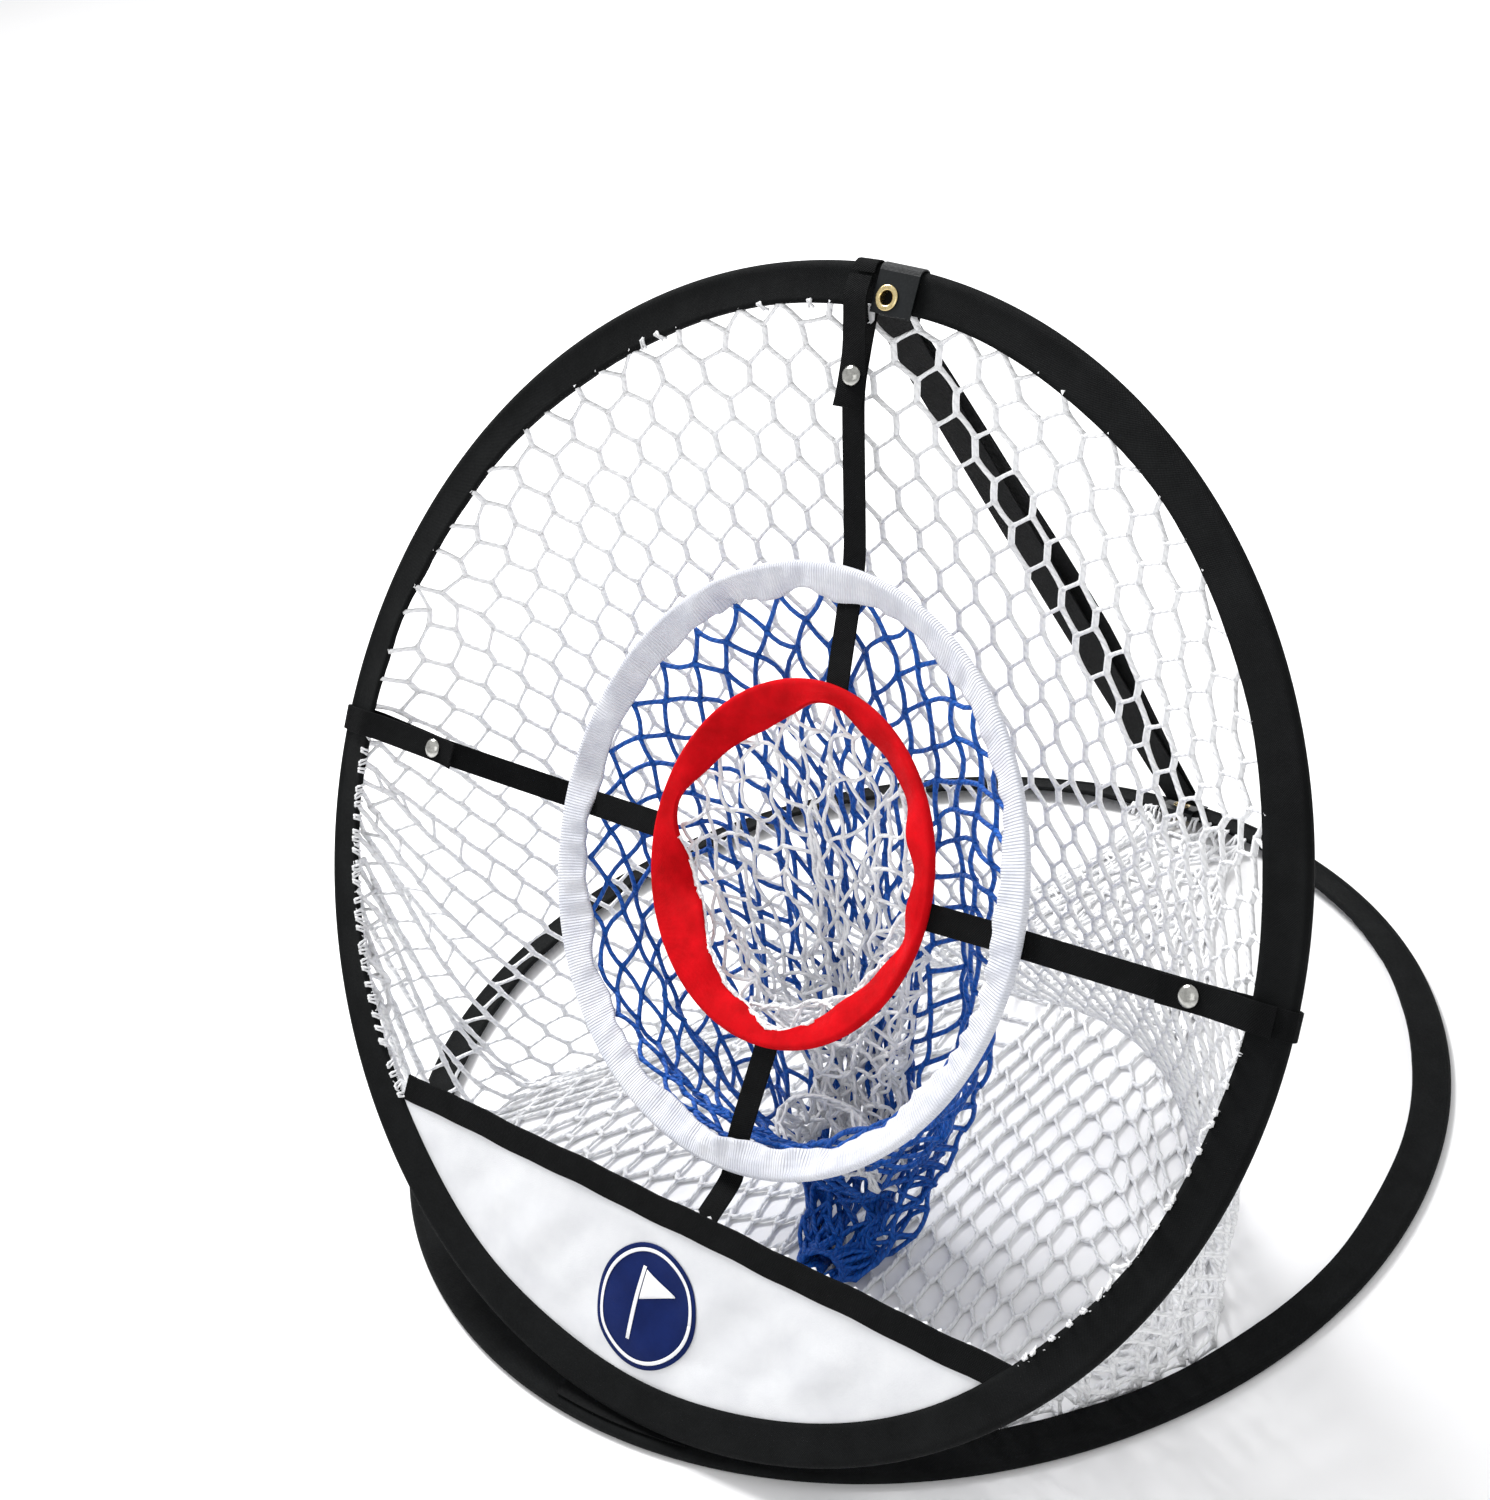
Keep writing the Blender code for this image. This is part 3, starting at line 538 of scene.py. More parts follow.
def make_bullseye_ring():
    def tilt(angle):
        return held(angle, 22) + radians(7) * np.sin(5 * angle)

    def opening(angle):
        """The cloth is pulled into an uneven opening, wide at the straps."""
        shape = 7.5 * bump_at(angle, 85, 16) + 4 * bump_at(angle, 3, 20)
        shape += 8 * bump_at(angle, -78, 13) + 7 * bump_at(angle, 172, 12)
        shape += -10 * bump_at(angle, -146, 27) - 6 * bump_at(angle, 124, 22)
        return (shape - 4.5) / 1000

    waves = ripples(12, 5, 16, 6)

    def fold(angle, across):
        crease = bump_at(angle, 125 - 25 * across, 10) - 0.8 * bump_at(angle, 140 - 25 * across, 9)
        crease += 0.8 * bump_at(angle, -165 + 20 * across, 9) + 0.6 * bump_at(angle, 62, 8)
        return 0.0012 * waves(angle, across) + 0.0018 * crease

    bull = sleeve(
        "bullseye_ring_cloth", BULL, BULL_R - SMALL_TUBE, SMALL_TUBE, BULL_BAND, 300, RED,
        lift=tilt, ripple=fold, puff=lambda a: 0.0006 + 0 * a, edge=opening,
    )
    finish_piece(bull, "front", "red_sleeve", "bullseye_ring_sleeve")

    a = np.radians(np.arange(-176, -62, 2.2))
    turn, reach = tilt(a), SMALL_TUBE - BULL_BAND + opening(a)
    r = BULL_R - SMALL_TUBE + reach * np.cos(turn) + RNG.normal(0, 0.0004, len(a))
    n = 0.0004 - reach * np.sin(turn) + RNG.normal(0, 0.0003, len(a))
    path = at(BULL, np.stack([r * np.cos(a), r * np.sin(a), n], -1))
    seam = cords("bullseye_seam_cord", path[:-1], path[1:], 0.0013, 6, 2, NET, 0.05, 0.1)
    finish_piece(seam, "front", "white_net")


# ------------------------------------ straps and flaps
def turned(name, matrix, profile, material, steps=48, closed=False):
    """A profile of (radius, height) points turned about a matrix's Z."""
    angle = 2 * pi * np.arange(steps) / steps
    r, z = np.array(profile, float).T
    r = np.maximum(r, 0.00001)
    x, y = r * np.cos(angle)[:, None], r * np.sin(angle)[:, None]
    points = np.stack([x, y, np.broadcast_to(z, x.shape)], -1)
    return skin(name, at(matrix, points), material, True, closed, 50)


def depth_at(u):
    """The n of the turned target ring's plane, at u."""
    return TARGET_AT[2] + (u - TARGET_AT[0]) * math.tan(TARGET_YAW)


FLAP_TWIST = {"top": -0.45, "left": 0.06, "right": -0.10}  # radians, at a flap's tail
SNAP_DOME = [  # radius and height
    (0, 0.0054), (0.0012, 0.00535), (0.0024, 0.0052), (0.0036, 0.0048), (0.0046, 0.0042),
    (0.0053, 0.0035), (0.0056, 0.0030), (0.0055, 0.0027), (0.0050, 0.0026),
]


def make_strap(name, turn, inner, outer, sag):
    """Follows part.py: behind the target ring, out to the hoop, round it, and under its flap.

    inner, outer and sag are how far aside the strap lies at its two ends and at the ring.
    """
    out, across = np.array([cos(turn), sin(turn), 0]), np.array([-sin(turn), cos(turn), 0])
    snap_r = SNAP_R[name]

    def point(r, n):
        share = min(1.0, max(0.0, (r - BULL_R) / (FRONT_R - BAND - BULL_R)))
        aside = inner + (outer - inner) * share + sag * max(0.0, 1 - abs(r - TARGET_R) / 0.065)
        return out * r + across * aside + np.array([0, 0, n])

    centre = np.array([TARGET_AT[0] + BULL_AT[0], TARGET_AT[1] + BULL_AT[1], 0])
    aside = inner - centre @ across
    bull = centre @ out + math.sqrt(BULL_R**2 - aside**2) - 0.003
    route = [(bull, depth_at((out * bull + across * inner)[0]) - 0.002)]
    for r in (TARGET_R - TARGET_BAND - 0.003, TARGET_R + 0.004):
        route.append((r, depth_at(out[0] * r) - BEHIND_RING))
    route += [(snap_r - 0.012, -0.0022), (snap_r + 0.012, -0.0022), (FRONT_R - BAND, -ROUND_HOOP)]
    arc = [radians(-90 + 30 * k) for k in range(7)]
    route += [(FRONT_R - TUBE + ROUND_HOOP * cos(a), ROUND_HOOP * sin(a)) for a in arc]
    route.append((HINGE_R + 0.0009, ROUND_HOOP))
    path = at(FRONT, [point(r, n) for r, n in route])
    wide = np.array(FRONT.to_3x3()) @ across
    strap = ribbon(f"{name}_strap_webbing", path, wide, STRAP_W, STRAP_T, WEBBING)
    finish_piece(strap, "front", "black_webbing", f"{name}_strap")

    route = [(HINGE_R - 0.0010, HINGE_N + 0.0004), (FRONT_R - BAND + 0.004, 0.0078)]
    route += [(max(FRONT_R - BAND - 0.008, snap_r + 0.020), 0.0050), (snap_r + 0.009, 0.0020)]
    route += [(snap_r - 0.008, 0.0020), (snap_r - FLAP_TAIL, 0.0030)]
    path = at(FRONT, [point(r, n) for r, n in route])
    twist = ([0, 0.5, 1], [0, 0, FLAP_TWIST[name]])
    flap = ribbon(
        f"{name}_flap_webbing", path, wide, STRAP_W + 0.0006, STRAP_T, WEBBING, 0.003, twist
    )
    finish_piece(flap, f"{name}_tab", "black_webbing", f"{name}_tab_flap")
    spot = FRONT @ Matrix.Translation(point(snap_r, -0.0001))
    cap = turned(f"{name}_snap_dome", spot, SNAP_DOME, CHROME)
    finish_piece(cap, f"{name}_tab", "snap_metal", f"{name}_snap_cap")


BOTTOM_U = (0.0150, 0.0148, 0.0111, 0.0104, 0.0187)  # the bottom strap, from its foot up


def make_bottom_strap():
    """From the panel's binding, behind the target ring, to the bullseye ring."""
    foot = BIND_Y + math.tan(BIND_TILT) * BOTTOM_U[1]
    low = TARGET_AT[1] - TARGET_R - 0.004
    high = TARGET_AT[1] - TARGET_R + TARGET_BAND + 0.003
    aside = BOTTOM_U[-1] - TARGET_AT[0] - BULL_AT[0]
    top = TARGET_AT[1] + BULL_AT[1] - math.sqrt(BULL_R**2 - aside**2) + 0.003
    depth = TARGET_AT[2] - BEHIND_RING
    up = (foot - 0.004, foot + 0.006, low, high, top)
    out = (-0.0022, -0.0030, depth, depth, depth_at(BOTTOM_U[-1]) - 0.002)
    path = at(FRONT, list(zip(BOTTOM_U, up, out)))
    strap = ribbon("bottom_strap_webbing", path, (1, 0, 0), STRAP_W, STRAP_T, WEBBING)
    finish_piece(strap, "front", "black_webbing", "bottom_strap")


REAR_TOP = FRONT @ Vector((-0.005, 0.2915, -0.0125))
REAR_FOOT = (BASE_X + 0.0136, 0.2990, 0.0180)
REAR_W, REAR_T = 0.025, 0.0010


def make_rear_strap():
    """Two layers of tape from the top of the front hoop to the back of the base."""
    top, foot = np.array(REAR_TOP), np.array(REAR_FOOT)
    along = foot - top
    normal = np.cross(along, [1.0, 0, 0])
    normal *= np.sign(normal[1]) / np.linalg.norm(normal)
    layers = (("inner", -0.0012, -0.002, 0.0), ("outer", 0.0012, 0.006, 0.12))
    for name, offset, shift, turn in layers:
        path = []
        for t in np.linspace(0, 1, 13):
            swing = sin(pi * t)
            p = top + along * t + normal * (offset + 0.003 * swing * (offset > 0))
            path.append(p + [shift * swing, 0, 0])
        path[0] = path[0] - along / np.linalg.norm(along) * 0.008
        path[-1] = path[-1] + along / np.linalg.norm(along) * 0.004
        twist = ([0, 0.3, 0.6, 0.85, 1], [0, turn, -turn, turn, 0])
        tape = ribbon(
            f"rear_tape_{name}", path, (1, 0, 0), REAR_W, REAR_T, WEBBING, 0.006, twist
        )
        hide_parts(f"rear_strap_{name}")
        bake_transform(tape)


# ------------------------------------ panel and badge
PANEL_UNDER = 0.007  # how far the panel runs under the hoop's sleeve
BADGE_AT, BADGE_R = (-0.0094, -0.2445), 0.0330


def panel_wave(u, w):
    """How far the slack panel stands out of the hoop's plane."""
    edge = np.clip((FRONT_R - BAND - np.hypot(u, w)) / 0.02, 0, 1)
    sag = edge * np.clip((-0.206 - w + math.tan(BIND_TILT) * u) / 0.02, 0, 1)
    folds = 0.9 * np.sin(26 * u + 40 * w + 1.0) + 0.6 * np.sin(61 * u - 33 * w)
    folds += 0.5 * np.sin(95 * u + 70 * w + 2.0) + 0.35 * np.sin(160 * u - 120 * w + 0.7)
    return 0.0015 * sag * folds


def make_panel():
    radius = FRONT_R - BAND + PANEL_UNDER
    top = BIND_Y + 0.002
    half = math.sqrt(radius**2 - top**2)
    u = np.linspace(-half, half, 121)
    t = np.linspace(0, 1, 41)
    low = -np.sqrt(np.maximum(radius**2 - u**2, 0))
    high = top + math.tan(BIND_TILT) * u
    w = low[:, None] + (high - low)[:, None] * t[None]
    uu = np.repeat(u[:, None], len(t), 1)
    n = panel_wave(uu, w)
    points = at(FRONT, np.stack([uu, w, n], -1).reshape(-1, 3))
    quads = grid(len(u), len(t), False, False)[0]
    flat = np.stack([uu, w], -1).reshape(-1, 2)
    uvs = flat[quads].reshape(-1, 2)
    panel = object_from("front_panel_cloth", points, quads.tolist(), uvs, PANEL)
    wall = panel.modifiers.new("cloth", "SOLIDIFY")
    wall.thickness = 0.0004
    wall.offset = 1
    finish_piece(panel, "front", "white_panel", "front_panel")

    bind = FRONT @ Matrix.Translation((0, BIND_Y, 0)) @ Matrix.Rotation(BIND_TILT, 4, "Z")
    reach = math.sqrt((FRONT_R - 0.0115) ** 2 - (BIND_Y - 0.016) ** 2)
    us = np.linspace(-reach, reach, 60)
    wobble = 0.0004 * np.sin(us * 70) + 0.0003 * np.sin(us * 171 + 1)
    path = at(bind, np.stack([us, wobble, 0.6 * wobble], -1))
    wide = np.array(bind.to_3x3()) @ np.array([0, 1, 0])
    tape = ribbon("panel_binding_tape", path, wide, BIND_W, 0.0020, WEBBING, 0.006)
    finish_piece(tape, "front", "black_webbing", "panel_binding")

    make_badge(BADGE_AT, BADGE_R)


def badge_piece(name, outline, height, material):
    """A flat printed shape on the panel, following its folds. Outline is a grid of points."""
    rows, cols = outline.shape[:2]
    flat = outline.reshape(-1, 2)
    n = panel_wave(flat[:, 0], flat[:, 1]) + 0.0005 + height
    points = at(FRONT, np.column_stack([flat, n]))
    quads = grid(rows, cols, False, False)[0]
    uvs = flat[quads].reshape(-1, 2)
    piece = object_from(name, points, quads.tolist(), uvs, material)
    wall = piece.modifiers.new("print", "SOLIDIFY")
    wall.thickness = 0.00008
    wall.offset = 1
    finish_piece(piece, "front", "white_panel")


def make_badge(centre, radius):
    """A plain round badge with a pennant on a pole."""
    navy = woven(
        "badge_navy", (0.003, 0.010, 0.07), (0.006, 0.018, 0.11), 0.0006, 0.0006, 0.00003, 0.5,
        Specular_IOR_Level=0.08,
    )
    pale = woven(
        "badge_white", (0.80, 0.81, 0.84), (0.88, 0.88, 0.90), 0.0006, 0.0006, 0.00003, 0.4
    )

    def disc(size):
        s, t = np.linspace(-1, 1, 33)[:, None], np.linspace(-1, 1, 33)[None]
        x, y = s * np.sqrt(1 - t**2 / 2), t * np.sqrt(1 - s**2 / 2)
        return np.stack([centre[0] + size * x, centre[1] + size * y], -1)

    def rim(inner, outer):
        a = np.linspace(0, 2 * pi, 73)[:, None]
        r = np.linspace(inner, outer, 5)[None]
        return np.stack([centre[0] + r * np.cos(a), centre[1] + r * np.sin(a)], -1)

    def patch(corners):
        a, b, c, d = [np.array(p) * radius + np.array(centre) for p in corners]
        s, t = np.linspace(0, 1, 9)[:, None, None], np.linspace(0, 1, 9)[None, :, None]
        return (a * (1 - s) + b * s) * (1 - t) + (d * (1 - s) + c * s) * t

    pole = patch([(-0.22, -0.6), (-0.15, -0.6), (-0.15, 0.6), (-0.22, 0.6)])
    pennant = patch([(-0.13, 0.08), (0.5, 0.31), (0.5, 0.33), (-0.13, 0.56)])
    badge_piece("badge_disc", disc(radius), 0, navy)
    badge_piece("badge_rim", rim(radius * 0.86, radius * 0.92), 0.0003, pale)
    badge_piece("badge_pole", pole, 0.0003, pale)
    badge_piece("badge_pennant", pennant, 0.0003, pale)


# ------------------------------------ nets
GRAVITY = np.array([0, 0, -0.0005])  # metres fallen in the first step
SETTLE_STEPS, KEPT_SPEED = 260, 0.96


def relax(x, groups, fixed, rounds, limit, stiff):
    """Settles cords of fixed length under gravity. No two cords of a group share an end.

    stiff is how much a cord that is shorter than its length pushes back, and limit(x, free)
    keeps the free points inside the space that the net has.
    """
    free = (~fixed).astype(float)[:, None]
    before = x.copy()
    sets = []
    for a, b, rest in groups:
        wa, wb = free[a], free[b]
        total = np.maximum(wa + wb, 1e-9)
        sets.append((a, b, rest[:, None], wa / total, wb / total))
    for _ in range(SETTLE_STEPS):
        speed = (x - before) * KEPT_SPEED
        before = x.copy()
        x = x + free * (speed + GRAVITY)
        for _ in range(rounds):
            for a, b, rest, wa, wb in sets:
                d = x[b] - x[a]
                length = np.sqrt((d * d).sum(1))[:, None] + 1e-9
                push = (length - rest) / length
                push = np.where(push < 0, push * stiff, push) * d
                x[a] += push * wa
                x[b] -= push * wb
        limit(x, free[:, 0] > 0)
    return x


def spread_out(x, a, b, fixed, rounds):
    """Places the free points at the average of their neighbours, from a rough start."""
    n = len(x)
    count = np.bincount(a, minlength=n) + np.bincount(b, minlength=n)
    for _ in range(rounds):
        total = [np.bincount(a, x[b, k], n) + np.bincount(b, x[a, k], n) for k in range(3)]
        x = np.where(fixed[:, None], x, np.stack(total, 1) / count[:, None])
    return x


PITCH, LEG, SLANT_RISE = 0.0246, 0.0064, 0.0096  # the main net's cells
ROW, NET_COLS = LEG + SLANT_RISE, 50
TAUT = 0.88  # the flat net's width where the hoop stretches it across, as a share
EDGE = [  # across and along the flat net, and the hoop angle (degrees) that each point meets
    (0.000, 0.000, 90), (0.099, 0.008, 70), (0.195, 0.031, 50), (0.288, 0.069, 30),
    (0.373, 0.122, 10), (0.415, 0.162, 0),
]
TIE_AT = 0.556  # along the flat net, where it is tied at the back of the base
NET_R = 0.572  # from the tie out to the hoop, on the flat net
SIDE_TURN, PANEL_TURN, SEAM_TURN = 46.5, 97, 132  # degrees about the tie, from straight up
LOW_ANGLE = -43.2  # the hoop angle where the panel's binding meets it
SEWN_BACK, SEWN_HIGH = BAND - TUBE - 0.0012, -0.0004  # where the net is sewn to the sleeve
CUT_WIDE = 0.96  # how wide the lower net is cut, as a share
TIE_R, TIE_HIGH = 0.2872, 0.0075  # where the tied end is held, on the base hoop
TIE_HALF = 0.056  # half the width of net that is held there
NET_FLOOR = 0.0021  # lowest height of a cord's middle
LYING = 0.0035  # cords below this lie on the floor, and ride with the base
INNER_BASE_R, INNER_BASE_TOP = 0.2865, 0.0135  # room inside the base hoop's sleeve
BULGE_R, BULGE_TOP = 0.302, 0.06  # how far out the net may hang over the base hoop
BEHIND_HOOP = 0.0045  # the net stays this far behind the front hoop's plane
NET_THICK = (0.00185, 0.00110, 0.00145)  # radius of the legs and of each way of slant
NET_SWELL = (0.0, 0.65, 0.30)  # how much each thickens towards its ends


def rim_point(angle, back, height=0.0):
    """A point on the front hoop's turned sleeve, measured inward from its wire."""
    turn = HOOP_LIFT * max(0.0, cos(2 * angle))
    r = FRONT_R - TUBE - back * cos(turn) + height * sin(turn)
    return r * cos(angle), r * sin(angle), back * sin(turn) + height * cos(turn)


def net_edge():
    """The flat net's outline, where its points are sewn in the hoop's plane, and its seam."""
    right = []
    for (a0, b0, t0), (a1, b1, t1) in zip(EDGE, EDGE[1:]):
        for k in range(12):
            s = k / 12
            sewn = rim_point(radians(t0 + (t1 - t0) * s), SEWN_BACK, SEWN_HIGH)
            right.append((((a0 + (a1 - a0) * s) * TAUT, b0 + (b1 - b0) * s), sewn, False))

    def about_tie(turn, reach, wide):
        turn = radians(turn)
        return reach * sin(turn) * wide, TIE_AT - reach * cos(turn)

    for k in range(40):
        s = k / 40
        sewn = rim_point(radians(LOW_ANGLE * s), SEWN_BACK, SEWN_HIGH)
        turn = SIDE_TURN + (PANEL_TURN - SIDE_TURN) * s
        slack = 1 + 0.025 * min(1, 3 * s)
        wide = TAUT + (CUT_WIDE - TAUT) * s
        right.append((about_tie(turn, NET_R * slack, wide), sewn, False))
    half = (FRONT_R - BAND) * cos(radians(LOW_ANGLE))
    for k in range(25):
        s = k / 24
        u = half * (1 - s)
        sewn = (u, BIND_Y + 0.006 + math.tan(BIND_TILT) * u, -0.0020)
        turn = PANEL_TURN + (SEAM_TURN - PANEL_TURN) * s
        right.append((about_tie(turn, NET_R, CUT_WIDE), sewn, False))
    for k in range(1, 40):
        right.append((about_tie(SEAM_TURN, NET_R * (1 - k / 40), CUT_WIDE), sewn, True))
    left = [((-f[0], f[1]), (-s[0], s[1], s[2]), seam) for f, s, seam in right[1:]]
    loop = right + left[::-1]
    flat, sewn, seam = (np.array(column) for column in zip(*loop))
    return flat, at(FRONT, sewn), seam


def inside(flat, points):
    """Which points are inside a closed outline."""
    x, y = points[:, 0], points[:, 1]
    x0, y0 = flat.T
    x1, y1 = np.roll(flat, -1, 0).T
    crosses = (y0[None] > y[:, None]) != (y1[None] > y[:, None])
    where = x0[None] + (y[:, None] - y0) / np.where(y1 == y0, 1e-9, y1 - y0) * (x1 - x0)
    return (crosses & (x[:, None] < where)).sum(1) % 2 == 1


def hexagons():
    """The points of a flat hexagonal net, and its legs and two ways of slant as (a, b, length)."""
    rows = int((TIE_AT + 0.42) / ROW) + 3
    columns = np.arange(-NET_COLS // 2, NET_COLS // 2)
    r, c, end = np.meshgrid(np.arange(rows), columns, [0, 1], indexing="ij")
    across = (c + 0.5 * (r % 2)) * PITCH
    down = r * ROW + end * LEG - 0.004
    place = np.stack([across.ravel(), down.ravel()], 1)
    index = np.arange(place.shape[0]).reshape(r.shape)
    links = [(index[..., 0].ravel(), index[..., 1].ravel(), LEG)]
    upper = np.arange(rows - 1)[:, None]
    for step in (0, 1):
        to = np.arange(NET_COLS)[None] + step - 1 + upper % 2
        ok = (to >= 0) & (to < NET_COLS)
        start = index[:-1, :, 1]
        stop = index[1:, :, 0][upper, np.clip(to, 0, NET_COLS - 1)]
        links.append((start[ok], stop[ok], math.hypot(PITCH / 2, SLANT_RISE)))
    return place, links


def cut_net():
    """The flat net cut to its outline: its points, cords, and where each point starts.

    Points just outside the outline are sewn down, or joined to their mirror twins if they are
    on the seam.
    """
    place, links = hexagons()
    flat, sewn, seam = net_edge()
    within = inside(flat, place)
    keep = within.copy()
    for a, b, _ in links:
        keep[a] |= within[b]
        keep[b] |= within[a]
    number = np.cumsum(keep) - 1
    groups = []
    for a, b, rest in links:
        both = keep[a] & keep[b] & (within[a] | within[b])
        groups.append((number[a[both]], number[b[both]], np.full(both.sum(), rest)))
    place, within = place[keep], within[keep]
    nearest = ((place[:, None] - flat[None]) ** 2).sum(2).argmin(1)
    fixed = ~within & ~seam[nearest]
    x = sewn[nearest].copy()
    mirror = ((place[:, None] * [-1, 1] - place[None]) ** 2).sum(2).argmin(1)
    joined = np.flatnonzero(~within & seam[nearest] & (place[:, 0] > 0))
    groups.append((joined, mirror[joined], np.full(len(joined), 0.003)))
    tie = (np.abs(place[:, 1] - TIE_AT) < ROW * 0.45) & (np.abs(place[:, 0]) < TIE_HALF)
    turn = np.radians(84 - place[tie, 0] / 0.045 * 9)
    tied_x, tied_y = BASE_X + TIE_R * np.cos(turn), TIE_R * np.sin(turn)
    x[tie] = np.stack([tied_x, tied_y, TIE_HIGH + 0 * turn], 1)
    fixed |= tie
    return x, groups, fixed


def make_main_net():
    """One flat piece of hexagonal net, sewn round the hoop and held at the back of the base."""
    x, groups, fixed = cut_net()
    a = np.concatenate([g[0] for g in groups])
    b = np.concatenate([g[1] for g in groups])
    x = spread_out(x, a, b, fixed, 1500)
    x += RNG.normal(0, 0.0018, x.shape) * (~fixed)[:, None]
    middle = np.array([BASE_X, 0.0])
    face, origin = np.array(FACE), np.array(FRONT.translation)

    def limit(p, free):
        p[:, 2] = np.where(free, np.maximum(p[:, 2], NET_FLOOR), p[:, 2])
        away = p[:, :2] - middle
        r = np.linalg.norm(away, axis=1)
        for most, top in ((INNER_BASE_R, INNER_BASE_TOP), (BULGE_R, BULGE_TOP)):
            over = free & (p[:, 2] < top) & (r > most)
            p[over, :2] = middle + away[over] / r[over, None] * most
        out = (p - origin) @ face + BEHIND_HOOP
        over = free & (out > 0)
        p[over] -= out[over, None] * face

    x = relax(x, groups, fixed, 12, limit, 0.25)
    lying = x[:, 2] < LYING
    for name, on_floor in (("main_net_walls", False), ("main_net_floor", True)):
        starts, ends, thick, swell = [], [], [], []
        for k, (a, b, _) in enumerate(groups[:3]):
            chosen = (lying[a] & lying[b]) == on_floor
            starts.append(x[a[chosen]])
            ends.append(x[b[chosen]])
            thick.append(np.full(chosen.sum(), NET_THICK[k]))
            swell.append(np.full(chosen.sum(), NET_SWELL[k]))
        starts, ends, thick, swell = map(np.concatenate, (starts, ends, thick, swell))
        net = cords(name, starts, ends, thick, 5, 4, NET, 0.05, swell)
        if on_floor:
            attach(net, "base")
        else:
            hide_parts("main_net")
            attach(net, "front")
            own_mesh(net)


POCKET_DEPTH = -0.0090  # where a pocket is sewn, behind its ring's wire


def make_pocket(
    name, ring_at, radius, count, rows, side, end, spread, floor, thick, material, nodes,
    noise, shorten, full, uneven, bow,
):
    """A diamond net hung from a ring and gathered at its end.

    It has count cells round the ring, and rows of cords that are side long. They are shorter,
    by up to the share shorten, on the side nearest the knot, and uneven at random by the share
    uneven. full is how round the bag is before it settles, and noise how rough.
    """
    angle = 2 * pi * (np.arange(count)[None] + 0.5 * (np.arange(rows + 1)[:, None] % 2)) / count
    share = (np.arange(rows + 1) / rows)[:, None, None]
    depth = np.full(angle.shape, POCKET_DEPTH)
    ring = np.stack([radius * np.cos(angle), radius * np.sin(angle), depth], 2)
    ring = at(ring_at, ring)
    centre = np.array(ring_at.translation)
    tail = np.stack([np.cos(angle), np.sin(angle) * 0.5, 0.35 * np.sin(angle)], 2) * spread
    width = (1 - share**full) ** (1 / full)
    x = (ring - centre) * width + centre * (1 - share) + np.array(end) * share + tail * share
    x[1:-1] += RNG.normal(0, noise, x[1:-1].shape)
    away = np.linalg.norm(ring[0] - np.array(end), axis=1)
    scale = 1 - shorten + shorten * away / away.max()
    index = np.arange(x[..., 0].size).reshape(x.shape[:2])
    groups = []
    for parity in (0, 1):
        for step in (0, 1):
            a, b, rest = [], [], []
            for r in range(parity, rows, 2):
                shift = step if parity else step - 1
                to = (np.arange(count) + shift) % count
                a.append(index[r])
                b.append(index[r + 1][to])
                rest.append(side * scale * RNG.uniform(1 - uneven, 1 + uneven, count))
            groups.append((np.concatenate(a), np.concatenate(b), np.concatenate(rest)))
    x = x.reshape(-1, 3)
    fixed = np.zeros(len(x), bool)
    fixed[index[0]] = fixed[index[-1]] = True

    def limit(p, free):
        p[:, 2] = np.where(free, np.maximum(p[:, 2], floor), p[:, 2])

    x = relax(x, groups, fixed, 10, limit, 0.5)
    knot = x[index[-1]]
    starts = np.concatenate([*(x[g[0]] for g in groups), knot])
    ends = np.concatenate([*(x[g[1]] for g in groups), np.roll(knot, -3, 0)])
    net = cords(name, starts, ends, thick, 6, 4, material, bow)
    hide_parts(*nodes)
    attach(net, "front")
    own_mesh(net)


def make_tie():
    """Cord that holds the net's foot to the base hoop's sleeve."""
    starts, ends = [], []
    for turn in np.radians(np.arange(76, 94, 1.6)):
        lean = RNG.uniform(-0.006, 0.006)
        loop = [(0.2850, 0, 0.0060), (0.2885, lean, 0.0108), (0.2925, lean * 2, 0.0104)]
        loop += [(0.2918, lean * 2 + 0.012, 0.0100), (0.2846, 0.016, 0.0052)]
        pts = [(BASE_X + r * cos(turn + t), r * sin(turn + t), z) for r, t, z in loop]
        starts += pts[:-1]
        ends += pts[1:]
    tie = cords("net_foot_lashing", starts, ends, 0.0009, 6, 2, NET)
    finish_piece(tie, "base", "white_net", "net_tie")


def make_nets():
    make_main_net()
    make_tie()
    make_pocket(
        "target_pocket_cords", TARGET, radius=0.1450, count=30, rows=22, side=0.0195,
        end=(BASE_X + 0.053, -0.165, 0.010), spread=0.014, floor=0.0035, thick=0.00135,
        material=BLUE, nodes=("target_pocket_net", "target_pocket_tie"),
        noise=0.003, shorten=0.27, full=3.0, uneven=0.14, bow=0.14,
    )
    make_pocket(
        "bullseye_pocket_cords", BULL, radius=0.0850, count=20, rows=21, side=0.0165,
        end=(BASE_X + 0.054, -0.145, 0.095), spread=0.030, floor=0.02, thick=0.00108,
        material=NET, nodes=("bullseye_pocket_net", "bullseye_pocket_tie"),
        noise=0.012, shorten=0.15, full=3.2, uneven=0.40, bow=0.30,
    )


